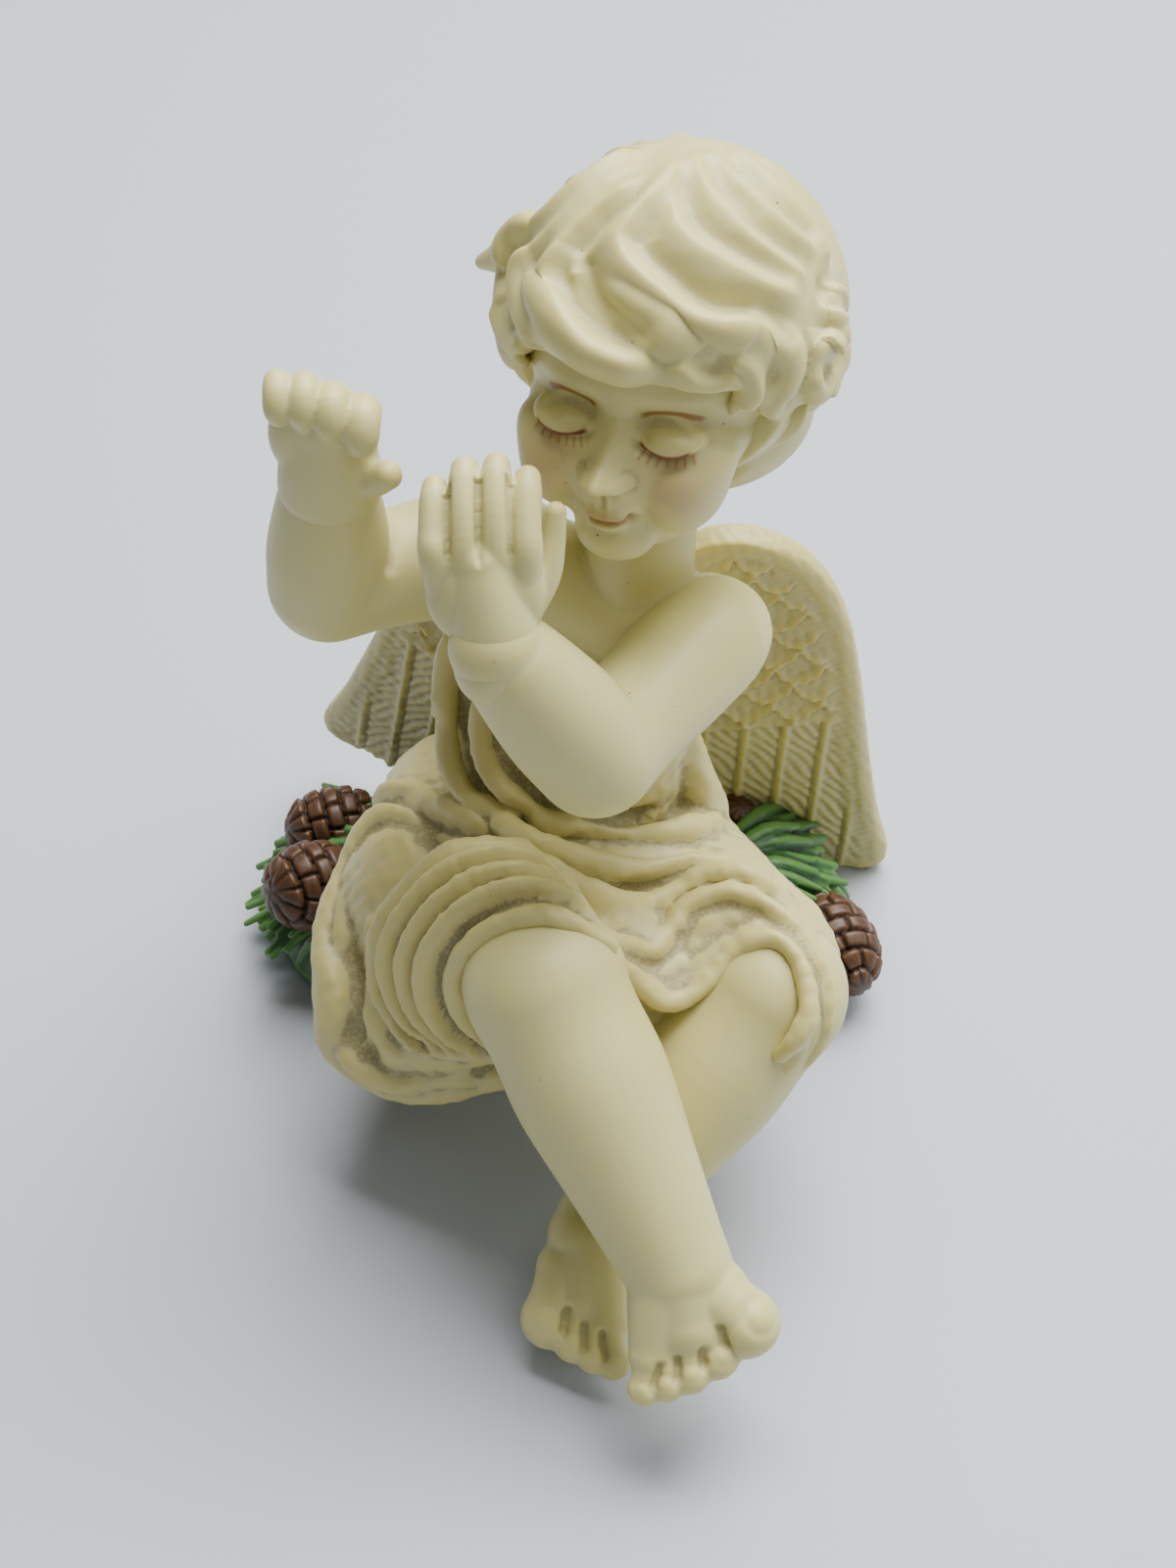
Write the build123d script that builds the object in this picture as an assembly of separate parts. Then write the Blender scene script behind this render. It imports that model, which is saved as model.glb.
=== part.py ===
"""A seated cherub in cast resin on a low mound of pine boughs: separate castings, steel pins and a felt pad.

Sizes are in millimetres. +Z is up, the figure faces -Y and its left side is at +X. The origin is the middle of
the underside. Each casting is cut to seat on those made before it, so glued faces meet however a size changes.
"""
import os
from math import asin, cos, pi, radians, sin

from build123d import *

# Mound and felt
MOUND_LENGTH = 60.0
MOUND_DEPTH = 36.0
MOUND_HEIGHT = 13.0
FELT_THICKNESS = 1.0
FELT_MARGIN = 2.5

# Trunk
PELVIS = Vector(-3, -3, MOUND_HEIGHT + 7)
BELLY = PELVIS + Vector(2.5, -2, 7)
CHEST = PELVIS + Vector(5, -5, 23)
NECK_FOOT = PELVIS + Vector(9, -6, 34)
PELVIS_RADIUS = 9.0
BELLY_RADIUS = 10.0
CHEST_RADIUS = 8.8
GIRDLE_RADIUS = 4.8
NECK_RADIUS = 4.4
TRUNK_TURN = -15.0  # about +Z, towards the figure's right

# Head and hair, measured in the head's own frame
HEAD_WIDTH = 23.0
HEAD_DEPTH = 25.0
HEAD_HEIGHT = 29.0
HEAD_CENTRE = NECK_FOOT + Vector(1.7, 1.5, 22)
HEAD_YAW = -25.0
HEAD_PITCH = -11.0
NOSE_RADIUS = 1.6
HAIR_THICKNESS = 2.2
FRINGE_LIFT = 3.5
FRINGE_RADIUS = 2.6
CURL_RADIUS = 2.7
NAPE_RADIUS = 3.4

# Arms and hands
LEFT_SHOULDER = CHEST + Vector(10.5, -3.5, 8.5)
LEFT_ELBOW = CHEST + Vector(0.5, -20, 9.5)
LEFT_WRIST = CHEST + Vector(-7, -20.5, 21.5)
LEFT_HAND_AIM = Vector(-0.2, 4.5, 14)
RIGHT_SHOULDER = CHEST + Vector(-7.5, 3, 9.5)
RIGHT_ELBOW = CHEST + Vector(-21.5, -4, 11.5)
RIGHT_WRIST = CHEST + Vector(-20.5, -5, 25)
RIGHT_HAND_AIM = Vector(0.5, -1, 9)
UPPER_ARM_RADIUS = 4.4
ELBOW_RADIUS = 4.9
WRIST_RADIUS = 3.8
PALM_WIDTH = 9.0
PALM_LENGTH = 7.0
PALM_THICKNESS = 4.6
FINGER_RADIUS = 1.15
FINGER_LENGTH = 5.0

# Legs and feet
RIGHT_HIP = PELVIS + Vector(-6, -2, 1)
RIGHT_KNEE = PELVIS + Vector(1.5, -32, 12)
RIGHT_ANKLE = PELVIS + Vector(12.5, -48.5, -4.5)
RIGHT_FOOT_AIM = Vector(1, -5.5, -4.5)
RIGHT_BIG_TOE_WAY = Vector(9.8, 4.8, 3)
LEFT_HIP = PELVIS + Vector(9.5, -4, 0)
LEFT_KNEE = PELVIS + Vector(22, -26.5, 4.5)
LEFT_ANKLE = PELVIS + Vector(5, -39, -11)
LEFT_FOOT_AIM = Vector(0.2, -9.3, -2.8)
LEFT_BIG_TOE_WAY = Vector(-5.5, 2, 0.8)
THIGH_RADIUS = 6.4
KNEE_RADIUS = 7.0
ANKLE_RADIUS = 4.7
FOOT_LENGTH = 9.0
FOOT_WIDTH = 10.5
FOOT_THICKNESS = 6.0
TOE_RADIUS = 1.4
BIG_TOE_RADIUS = 2.2

# Robe
CLOTH = 1.6
NECKLINE_SHARE = 0.3  # of the way from the chest up to the neck
SKIRT_SHARE = 0.84  # of each thigh that the skirt covers
SKIRT_FLARE = 2.0
SKIRT_RADIUS = 12.0
HANGING_FOLD_RADIUS = 4.6
TAIL_RADIUS = 3.2

# Wings
WING_SPAN = 27.0
WING_HEIGHT = 51.0
WING_THICKNESS = 3.0
WING_LEAN = 9.0
WING_SWEEP = 16.0
RIGHT_WING_ROLL = 17.0
WING_FLOOR_GAP = 0.5
WING_INSET = 3.5
WING_ROOT_SHARE = 0.64  # of the wing's height
LEFT_ROOT_XY = (8.5, 5.6)
RIGHT_ROOT_XY = (1.5, 3.2)
BOSS_RADIUS = 3.4

# Pine boughs and cones
CONE_RADIUS = 4.0
CONE_LENGTH = 9.5
CONE_RINGS = 5
BOUGH_THICKNESS = 9.0
NEEDLE_RADIUS = 1.5
NEEDLES = 7

# Pins
PIN_RADIUS = 0.8
PIN_CLEARANCE = 0.05
PIN_REACH = 5.0

ROOM = 400.0  # larger than the whole figure


# Shapes

def limb(start, end, start_radius, end_radius):
    """A tapering rod with a ball at each end."""
    axis = end - start
    slope = asin((start_radius - end_radius) / axis.length)
    under = (slope - pi / 2) / 2
    over = (slope + pi / 2) / 2
    top = axis.length + end_radius
    low = (start_radius * cos(slope), start_radius * sin(slope))
    high = (end_radius * cos(slope), axis.length + end_radius * sin(slope))
    low_middle = (start_radius * cos(under), start_radius * sin(under))
    high_middle = (end_radius * cos(over), axis.length + end_radius * sin(over))
    outline = [
        ThreePointArc((0, -start_radius), low_middle, low),
        Line(low, high),
        ThreePointArc(high, high_middle, (0, top)),
        Line((0, top), (0, -start_radius)),
    ]
    profile = make_face(Plane.XZ * Wire(outline))
    return Plane(start, z_dir=axis) * revolve(profile, Axis.Z)


def egg(centre, radii, turn=0.0):
    """An ellipsoid turned about its own upright axis."""
    return Location(centre) * Rot(0, 0, turn) * scale(Sphere(1), by=radii)


def sleeve(start, end, start_radius, end_radius):
    """A tapering rod with flat ends."""
    length = (end - start).length
    cone = Cone(start_radius, end_radius, length, align=(Align.CENTER, Align.CENTER, Align.MIN))
    return Plane(start, z_dir=end - start) * cone


def part_way(start, end, share):
    """The point at a share of the way from start to end."""
    return start + (end - start) * share


def aimed(origin, aim, side):
    """A plane with its Z along aim and its X as near side as it can be."""
    across = aim.cross(side).cross(aim)
    return Plane(origin, x_dir=across, z_dir=aim)


def above(height):
    """Everything in reach that is higher than a level."""
    return Pos(0, 0, height) * Box(ROOM, ROOM, ROOM, align=(Align.CENTER, Align.CENTER, Align.MIN))


def seat(piece, *others):
    """The piece cut to fit against others, with any crumbs beside it trimmed off."""
    for other in others:
        piece -= other
    return piece.solids().sort_by(SortBy.VOLUME)[-1]


# Mound, boughs and cones

def make_felt_pad():
    """The felt under the mound."""
    return extrude(Ellipse(MOUND_LENGTH / 2 - FELT_MARGIN, MOUND_DEPTH / 2 - FELT_MARGIN), FELT_THICKNESS)


def make_mound():
    """The low mound, widest at its foot and domed on top."""
    return egg((0, 0, 0), (MOUND_LENGTH / 2, MOUND_DEPTH / 2, MOUND_HEIGHT)) & above(FELT_THICKNESS)


def make_bough(root, aim, spread):
    """A tuft of thick needles that fans out from its root on the mound."""
    thick = BOUGH_THICKNESS
    mass = egg(part_way(root, aim, 0.35), (thick * 0.75, thick * 0.75, thick * 0.5))
    for needle in range(NEEDLES):
        lean = 2 * needle / (NEEDLES - 1) - 1
        tip = part_way(root, aim + spread * lean, 1 - 0.16 * lean * lean)
        mass += limb(root + spread * (lean * 0.35), tip, NEEDLE_RADIUS, NEEDLE_RADIUS * 0.6)
    return mass & above(FELT_THICKNESS)


def make_cone(foot, aim, girth=1.0):
    """A pine cone of stepped rings, widest about a third of the way up."""
    step = CONE_LENGTH / CONE_RINGS
    points = [(0, 0)]
    for ring in range(CONE_RINGS):
        from_widest = abs((ring + 0.6) / CONE_RINGS - 0.35)
        reach = CONE_RADIUS * girth * (1 - 0.9 * from_widest**1.6)
        points.append((reach * 0.74, ring * step))
        points.append((reach, (ring + 0.7) * step))
    points.append((0, CONE_LENGTH))
    profile = make_face(Plane.XZ * Polyline(*points, close=True))
    return Plane(foot, z_dir=aim) * revolve(profile, Axis.Z)


# Figure

def make_torso():
    """The bare trunk with its neck."""
    trunk = egg(PELVIS, (PELVIS_RADIUS * 1.22, PELVIS_RADIUS * 1.05, PELVIS_RADIUS), TRUNK_TURN)
    trunk += limb(PELVIS, BELLY, PELVIS_RADIUS, BELLY_RADIUS)
    trunk += limb(BELLY, CHEST, BELLY_RADIUS, CHEST_RADIUS)
    right_end = part_way(CHEST, RIGHT_SHOULDER, 0.7)
    left_end = part_way(CHEST, LEFT_SHOULDER, 0.7)
    trunk += limb(right_end, left_end, GIRDLE_RADIUS, GIRDLE_RADIUS)
    neck_start = part_way(CHEST, NECK_FOOT, 0.4)
    trunk += limb(neck_start, part_way(NECK_FOOT, HEAD_CENTRE, 0.4), GIRDLE_RADIUS, NECK_RADIUS)
    return trunk


def head_place():
    """The head's own frame: the face looks along its -Y."""
    return Location(HEAD_CENTRE) * Rot(0, 0, HEAD_YAW) * Rot(HEAD_PITCH, 0, 0)


def make_head():
    """Skull, jaw, cheeks, nose and ears."""
    half = HEAD_WIDTH / 2
    head = egg((0, 1.5, 3), (half, HEAD_DEPTH / 2, HEAD_HEIGHT * 0.41))
    head += egg((0, -3.5, -HEAD_HEIGHT * 0.19), (half * 0.83, HEAD_DEPTH * 0.34, HEAD_HEIGHT * 0.3))
    head += limb(Vector(0, -10.6, -1), Vector(0, -12, -HEAD_HEIGHT * 0.17), 1.0, NOSE_RADIUS)
    for side in (-1, 1):
        head += egg((side * half * 0.45, -6.5, -HEAD_HEIGHT * 0.23), (4.2, 4.4, 4.2))
        head += egg((side * half * 0.97, 0.5, -HEAD_HEIGHT * 0.1), (1.6, 2.4, 3.2))
    return head_place() * head


def make_hair():
    """A cap of hair with a thick fringe, side curls and a roll at the nape."""
    half = HEAD_WIDTH / 2
    reach = (half + HAIR_THICKNESS, HEAD_DEPTH / 2 + HAIR_THICKNESS, HEAD_HEIGHT * 0.41 + HAIR_THICKNESS)
    face_side = Box(ROOM, ROOM, ROOM, align=(Align.CENTER, Align.MAX, Align.MAX))
    hair = egg((0, 1.8, 3.2), reach) - Pos(0, -3, FRINGE_LIFT) * face_side
    fringe_end = Vector(half * 0.62, -HEAD_DEPTH * 0.36, FRINGE_LIFT + 0.5)
    nape_end = Vector(half * 0.6, HEAD_DEPTH * 0.36, -HEAD_HEIGHT * 0.24)
    for end, radius in ((fringe_end, FRINGE_RADIUS), (nape_end, NAPE_RADIUS)):
        hair += limb(Vector(-end.X, end.Y, end.Z), end, radius, radius)
    for side in (-1, 1):
        hair += egg((side * (half + 0.6), -3.2, -1.0), (CURL_RADIUS, CURL_RADIUS * 1.3, CURL_RADIUS * 1.5))
        hair += egg((side * (half + 0.4), 2.8, -5.2), (CURL_RADIUS, CURL_RADIUS * 1.4, CURL_RADIUS * 1.4))
    return head_place() * hair


def make_arm(shoulder, elbow, wrist):
    """A bent arm, shoulder to wrist."""
    return limb(shoulder, elbow, UPPER_ARM_RADIUS, ELBOW_RADIUS) + limb(elbow, wrist, ELBOW_RADIUS, WRIST_RADIUS)


def make_hand(wrist, aim, curl):
    """A hand with its thumb towards +X; curl is 1 where the fingers bend to +Y and -1 to -Y."""
    knuckle = PALM_LENGTH * 1.2
    middle = knuckle + FINGER_LENGTH
    hand = egg((0, 0, PALM_LENGTH * 0.75), (PALM_WIDTH / 2, PALM_THICKNESS / 2, PALM_LENGTH * 0.72))
    hand += limb(Vector(0, 0, 0), Vector(0, 0, PALM_LENGTH * 0.6), WRIST_RADIUS * 0.94, PALM_THICKNESS / 2)
    for finger in range(4):
        x = (finger - 1.5) * 2 * FINGER_RADIUS
        bend = Vector(x, curl * 0.8, middle)
        hand += limb(Vector(x, 0, knuckle), bend, FINGER_RADIUS * 1.1, FINGER_RADIUS)
        hand += limb(bend, Vector(x, curl * 3.4, middle - 0.8), FINGER_RADIUS, FINGER_RADIUS * 0.9)
    thumb_root = Vector(PALM_WIDTH * 0.34, curl * 0.8, PALM_LENGTH * 0.5)
    thumb_tip = Vector(PALM_WIDTH * 0.55, curl * 2.6, PALM_LENGTH * 1.35)
    hand += limb(thumb_root, thumb_tip, FINGER_RADIUS * 1.7, FINGER_RADIUS * 1.15)
    return aimed(wrist, aim, Vector(1, 0, 0)) * hand


def make_leg(hip, knee, ankle, aim, big_toe_way):
    """A bent leg with its foot and toes; aim runs from the ankle to the toes."""
    sole = FOOT_LENGTH * 0.62
    foot = limb(Vector(0, 0, 0), Vector(0, 0, sole), ANKLE_RADIUS * 0.92, FOOT_THICKNESS / 2)
    foot += egg((0, 0, sole), (FOOT_WIDTH / 2, FOOT_THICKNESS / 2, FOOT_LENGTH * 0.36))
    for toe in range(5):
        across = FOOT_WIDTH * (0.42 - 0.21 * toe)
        radius = TOE_RADIUS if toe else BIG_TOE_RADIUS
        tip = Vector(across * 1.15, 0, FOOT_LENGTH - 0.45 * toe)
        foot += limb(Vector(across * 0.8, 0, sole), tip, radius, radius)
    leg = limb(hip, knee, THIGH_RADIUS, KNEE_RADIUS) + limb(knee, ankle, KNEE_RADIUS, ANKLE_RADIUS)
    return leg + aimed(ankle, aim, big_toe_way) * foot


# Wings, made before the robe because the robe's back carries them

def wing_place(side):
    """Where a wing's root is and how the wing is turned; side is 1 for the left wing and -1 for the right."""
    x, y = LEFT_ROOT_XY if side == 1 else RIGHT_ROOT_XY
    lean = radians(WING_LEAN)
    z = WING_FLOOR_GAP + WING_HEIGHT * WING_ROOT_SHARE * cos(lean) + WING_THICKNESS * sin(lean)
    roll = 0.0 if side == 1 else RIGHT_WING_ROLL
    return Pos(x, y, z) * Rot(0, 0, TRUNK_TURN + side * WING_SWEEP) * Rot(WING_LEAN, 0, 0) * Rot(0, roll, 0)


def make_wing(side):
    """A flat wing: a round shoulder, a long outer edge and a short foot."""
    span = side * WING_SPAN
    height = WING_HEIGHT
    root = (0, height * WING_ROOT_SHARE)
    tip = (span, 0)
    heel = (span * 0.5, height * 0.02)
    shoulder = (span * 0.36, height)
    outer_turn = (span * 0.62, height * 0.91)
    upper_edge = Spline(root, (span * 0.12, height * 0.91), shoulder, outer_turn, (span * 0.75, height * 0.75))
    long_edge = Spline(upper_edge @ 1, (span * 0.86, height * 0.4), tip, tangents=(upper_edge % 1, (side * 0.3, -1)))
    outline = Wire([upper_edge, long_edge, Line(tip, heel), Line(heel, root)])
    plate = extrude(make_face(Plane.XZ * outline), WING_THICKNESS, dir=(0, -1, 0))
    return wing_place(side) * Pos(-side * WING_INSET, 0, -height * WING_ROOT_SHARE) * plate


# Robe

def make_bodice():
    """The top of the robe: over the right shoulder, under the left arm, with a boss at the back for the wings."""
    cloth = limb(PELVIS, BELLY, PELVIS_RADIUS + CLOTH, BELLY_RADIUS + CLOTH)
    cloth += limb(BELLY, CHEST, BELLY_RADIUS + CLOTH, CHEST_RADIUS + CLOTH)
    girdle_end = part_way(CHEST, RIGHT_SHOULDER, 0.85)
    cloth += limb(girdle_end, part_way(CHEST, NECK_FOOT, 0.6), GIRDLE_RADIUS + CLOTH, GIRDLE_RADIUS)
    neckline = Plane(part_way(CHEST, NECK_FOOT, NECKLINE_SHARE), z_dir=(0.62, -0.35, 0.7))
    cloth -= neckline * Box(ROOM, ROOM, ROOM, align=(Align.CENTER, Align.CENTER, Align.MIN))
    left_root = (wing_place(1) * Pos(0, -WING_THICKNESS / 2, 0)).position
    right_root = (wing_place(-1) * Pos(0, -WING_THICKNESS / 2, 0)).position
    cloth += limb(left_root, right_root, BOSS_RADIUS, BOSS_RADIUS)
    return cloth & above(PELVIS.Z - 2)


def make_skirt():
    """The skirt over both thighs, with the fold that hangs beside the right one and a tail at the left."""
    right_hem = part_way(RIGHT_HIP, RIGHT_KNEE, SKIRT_SHARE)
    left_hem = part_way(LEFT_HIP, LEFT_KNEE, SKIRT_SHARE)
    hem_radius = KNEE_RADIUS + SKIRT_FLARE
    skirt = egg(PELVIS, (SKIRT_RADIUS, SKIRT_RADIUS * 0.92, SKIRT_RADIUS * 0.8), TRUNK_TURN)
    skirt += sleeve(RIGHT_HIP, right_hem, THIGH_RADIUS + CLOTH, hem_radius)
    skirt += sleeve(LEFT_HIP, left_hem, THIGH_RADIUS + CLOTH, hem_radius)
    skirt += limb(part_way(RIGHT_HIP, right_hem, 0.76), part_way(LEFT_HIP, left_hem, 0.68), 7.0, 6.0)
    fold_foot = right_hem + Vector(-12, 3, -12)
    skirt += limb(fold_foot, right_hem + Vector(0, 1, -11), HANGING_FOLD_RADIUS, HANGING_FOLD_RADIUS)
    skirt += limb(fold_foot + Vector(0, 2, 1), RIGHT_HIP, HANGING_FOLD_RADIUS, THIGH_RADIUS + CLOTH)
    skirt += limb(right_hem + Vector(0, 3, -9), part_way(RIGHT_HIP, RIGHT_KNEE, 0.5), 5.4, 8.0)
    skirt += limb(left_hem + Vector(5, 5, -7), part_way(LEFT_HIP, LEFT_KNEE, 0.55), TAIL_RADIUS, KNEE_RADIUS)
    return skirt & above(FELT_THICKNESS)


# Pins

def pin(place, radius):
    """A round pin along the Z of a place, reaching equally far to both sides of it."""
    return place * Cylinder(radius, 2 * PIN_REACH)


def wing_pin_place(side):
    """A pin that lies in the wing's own thickness and crosses the face of the boss."""
    return wing_place(side) * Pos(side * BOSS_RADIUS, -WING_THICKNESS / 2, 0) * Rot(0, 90, 0)


def shoulder_pin_place(shoulder):
    """A pin along the shoulder girdle."""
    return Plane(part_way(CHEST, shoulder, 0.9), z_dir=shoulder - CHEST).location


def hip_pin_place(hip, knee):
    """A pin along the thigh."""
    return Plane(part_way(hip, knee, 0.25), z_dir=knee - hip).location


def neck_pin_place():
    """A pin up the middle of the neck."""
    return Plane(part_way(NECK_FOOT, HEAD_CENTRE, 0.55), z_dir=HEAD_CENTRE - NECK_FOOT).location


PIN_SETS = {
    "neck_pin": [neck_pin_place()],
    "arm_pins": [shoulder_pin_place(LEFT_SHOULDER), shoulder_pin_place(RIGHT_SHOULDER)],
    "leg_pins": [hip_pin_place(LEFT_HIP, LEFT_KNEE), hip_pin_place(RIGHT_HIP, RIGHT_KNEE)],
    "wing_pins": [wing_pin_place(1), wing_pin_place(-1)],
}


def drill(piece, places):
    """Holes for pins, with clearance all round and at both ends."""
    for place in places:
        piece -= place * Cylinder(PIN_RADIUS + PIN_CLEARANCE, 2 * (PIN_REACH + PIN_CLEARANCE))
    return piece


# Assembly

def assemble():
    """Every piece by name, each cut to seat on the ones before it and drilled for its pins."""
    made = {}
    made["torso"] = make_torso()
    made["head"] = seat(make_head(), made["torso"])
    made["hair"] = seat(make_hair(), made["head"], made["torso"])
    made["left_arm"] = seat(make_arm(LEFT_SHOULDER, LEFT_ELBOW, LEFT_WRIST), made["torso"])
    made["right_arm"] = seat(make_arm(RIGHT_SHOULDER, RIGHT_ELBOW, RIGHT_WRIST), made["torso"])
    head_parts = (made["head"], made["hair"])
    made["left_hand"] = seat(make_hand(LEFT_WRIST, LEFT_HAND_AIM, 1), made["left_arm"], *head_parts)
    made["right_hand"] = seat(make_hand(RIGHT_WRIST, RIGHT_HAND_AIM, -1), made["right_arm"], *head_parts)
    right_leg = make_leg(RIGHT_HIP, RIGHT_KNEE, RIGHT_ANKLE, RIGHT_FOOT_AIM, RIGHT_BIG_TOE_WAY)
    made["right_leg"] = seat(right_leg, made["torso"])
    left_leg = make_leg(LEFT_HIP, LEFT_KNEE, LEFT_ANKLE, LEFT_FOOT_AIM, LEFT_BIG_TOE_WAY)
    made["left_leg"] = seat(left_leg, made["torso"], made["right_leg"])
    body = ("torso", "left_arm", "right_arm", "left_leg", "right_leg")
    made["robe_bodice"] = seat(make_bodice(), *(made[name] for name in body))
    robe = ("torso", "left_leg", "right_leg", "robe_bodice")
    made["robe_skirt"] = seat(make_skirt(), *(made[name] for name in robe))
    made["pine_mound"] = seat(make_mound(), make_torso(), make_skirt())
    mound_top = MOUND_HEIGHT * 0.6
    half = MOUND_LENGTH / 2
    boughs = {
        "bough_left": (Vector(-half * 0.6, 1, mound_top), Vector(-half - 1, -2, 3.5), Vector(0, 7, 0)),
        "bough_right": (Vector(half * 0.55, 0, mound_top), Vector(half - 2, 0, 4.5), Vector(0, 7, 0)),
        "bough_back": (Vector(0, MOUND_DEPTH * 0.25, mound_top), Vector(-2, MOUND_DEPTH * 0.6, 3.5), Vector(9, 0, 0)),
    }
    for name, (root, aim, spread) in boughs.items():
        made[name] = seat(make_bough(root, aim, spread), make_mound(), made["robe_skirt"], made["torso"])
    cones = {
        "cone_left_upper": (Vector(-half * 0.66, 6, mound_top + 1), Vector(-8, 1, 4), 1.0),
        "cone_left_lower": (Vector(-half * 0.7, -2, mound_top + 1), Vector(-8, -3, 5), 1.0),
        "cone_right_outer": (Vector(half * 0.8, -4, 5), Vector(6, -6, 1), 0.9),
        "cone_right_inner": (Vector(half * 0.5, 5, mound_top - 1), Vector(2, 1, 8), 0.85),
    }
    greenery = ["pine_mound", "robe_skirt", *boughs]
    for name, (foot, aim, girth) in cones.items():
        made[name] = seat(make_cone(foot, aim, girth), *(made[other] for other in greenery))
        greenery.append(name)
    behind = ["torso", "left_arm", "right_arm", "hair", "robe_bodice", *greenery]
    for name, side in (("left_wing", 1), ("right_wing", -1)):
        made[name] = seat(make_wing(side), *(made[other] for other in behind))
    made["felt_pad"] = make_felt_pad()

    drilled = {
        "neck_pin": ("torso", "head"),
        "arm_pins": ("torso", "left_arm", "right_arm", "robe_bodice"),
        "leg_pins": ("torso", "left_leg", "right_leg"),
        "wing_pins": ("torso", "robe_bodice", "left_wing", "right_wing"),
    }
    for pins, pieces in drilled.items():
        for piece in pieces:
            made[piece] = drill(made[piece], PIN_SETS[pins])
        made[pins] = Compound([pin(place, PIN_RADIUS) for place in PIN_SETS[pins]])
    return made


os.makedirs("parts", exist_ok=True)
for name, piece in assemble().items():
    piece.label = name
    export_step(piece, f"parts/{name}.step")
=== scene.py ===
"""A seated resin cherub with wings and a draped robe, on a mound of pine boughs and cones.

Everything is modelled round the CAD frame. A piece is worked like clay at one unit to the millimetre,
placed by the boxes of the CAD nodes that it stands for, and brought to metres when it is finished.
"""
import logging
import math
from dataclasses import dataclass, field
from enum import Enum
from typing import Sequence

import bpy
import numpy as np
from mathutils import Euler, Matrix, Vector


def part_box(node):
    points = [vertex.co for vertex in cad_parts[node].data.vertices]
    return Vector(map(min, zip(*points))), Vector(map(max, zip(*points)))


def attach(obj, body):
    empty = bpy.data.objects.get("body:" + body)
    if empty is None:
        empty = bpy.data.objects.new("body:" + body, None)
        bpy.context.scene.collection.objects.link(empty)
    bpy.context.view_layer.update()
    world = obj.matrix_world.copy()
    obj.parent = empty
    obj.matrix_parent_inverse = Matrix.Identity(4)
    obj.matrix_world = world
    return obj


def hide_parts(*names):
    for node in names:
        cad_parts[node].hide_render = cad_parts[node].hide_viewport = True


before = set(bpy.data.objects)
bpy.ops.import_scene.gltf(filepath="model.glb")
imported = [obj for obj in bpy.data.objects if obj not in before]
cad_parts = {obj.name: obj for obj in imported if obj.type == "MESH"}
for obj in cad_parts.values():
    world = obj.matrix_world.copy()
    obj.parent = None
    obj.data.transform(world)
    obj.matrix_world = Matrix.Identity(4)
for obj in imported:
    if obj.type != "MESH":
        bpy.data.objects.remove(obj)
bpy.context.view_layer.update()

MM = 0.001
SEED = 7
LOG = logging.getLogger("cherub")

Point = Sequence[float]


class Side(Enum):
    """The figure's own left, at +X, and right, at -X."""

    LEFT = 1
    RIGHT = -1


# Places, in millimetres

def spot(node: str, share: Point) -> np.ndarray:
    """A place inside a CAD node's box.

    Args:
        node: The node's name.
        share: How far across the box the place is, along x, y and z, from 0 to 1.

    Returns:
        The place in millimetres.
    """
    low, high = (np.array(corner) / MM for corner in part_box(node))
    return low + (high - low) * np.array(share)


def joint(node: str, share: Point) -> np.ndarray:
    """A dataclass field whose value is a place inside a CAD node's box."""
    return field(default_factory=lambda: spot(node, share))


@dataclass(frozen=True)
class Skeleton:
    """The figure's joints, found inside the boxes of the castings that hold them."""

    pelvis: np.ndarray = joint("torso", (0.389, 0.59, 0.16))
    belly: np.ndarray = joint("torso", (0.479, 0.504, 0.285))
    chest: np.ndarray = joint("torso", (0.568, 0.376, 0.569))
    neck: np.ndarray = joint("torso", (0.711, 0.333, 0.765))
    throat: np.ndarray = joint("torso", (0.736, 0.359, 0.922))
    left_shoulder: np.ndarray = joint("left_arm", (0.829, 0.793, 0.204))
    left_elbow: np.ndarray = joint("left_arm", (0.44, 0.181, 0.251))
    left_wrist: np.ndarray = joint("left_arm", (0.148, 0.163, 0.82))
    right_shoulder: np.ndarray = joint("right_arm", (0.822, 0.73, 0.283))
    right_elbow: np.ndarray = joint("right_arm", (0.213, 0.301, 0.357))
    right_wrist: np.ndarray = joint("right_arm", (0.257, 0.239, 0.859))
    left_hip: np.ndarray = joint("left_leg", (0.373, 0.88, 0.577))
    left_knee: np.ndarray = joint("left_leg", (0.775, 0.449, 0.743))
    left_ankle: np.ndarray = joint("left_leg", (0.228, 0.21, 0.173))
    right_hip: np.ndarray = joint("right_leg", (0.192, 0.923, 0.423))
    right_knee: np.ndarray = joint("right_leg", (0.416, 0.418, 0.776))
    right_ankle: np.ndarray = joint("right_leg", (0.746, 0.14, 0.247))
    head: np.ndarray = joint("head", (0.494, 0.487, 0.479))


# Working the clay

def bell(value: np.ndarray, width: np.ndarray | float) -> np.ndarray:
    """1 where a value is nought, falling off to both sides over a width."""
    return np.exp(-((value / width) ** 2))


def rising(value: np.ndarray, soft: float) -> np.ndarray:
    """0 where a value is negative and 1 where it is positive, with a soft step between."""
    return 1 / (1 + np.exp(-value / soft))


def moved(points: np.ndarray, place: Matrix) -> np.ndarray:
    """Points after a transform, one row each."""
    move = np.array(place)
    return points @ move[:3, :3].T + move[:3, 3]


def deselect() -> None:
    """Deselects every object."""
    bpy.ops.object.select_all(action="DESELECT")


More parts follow.
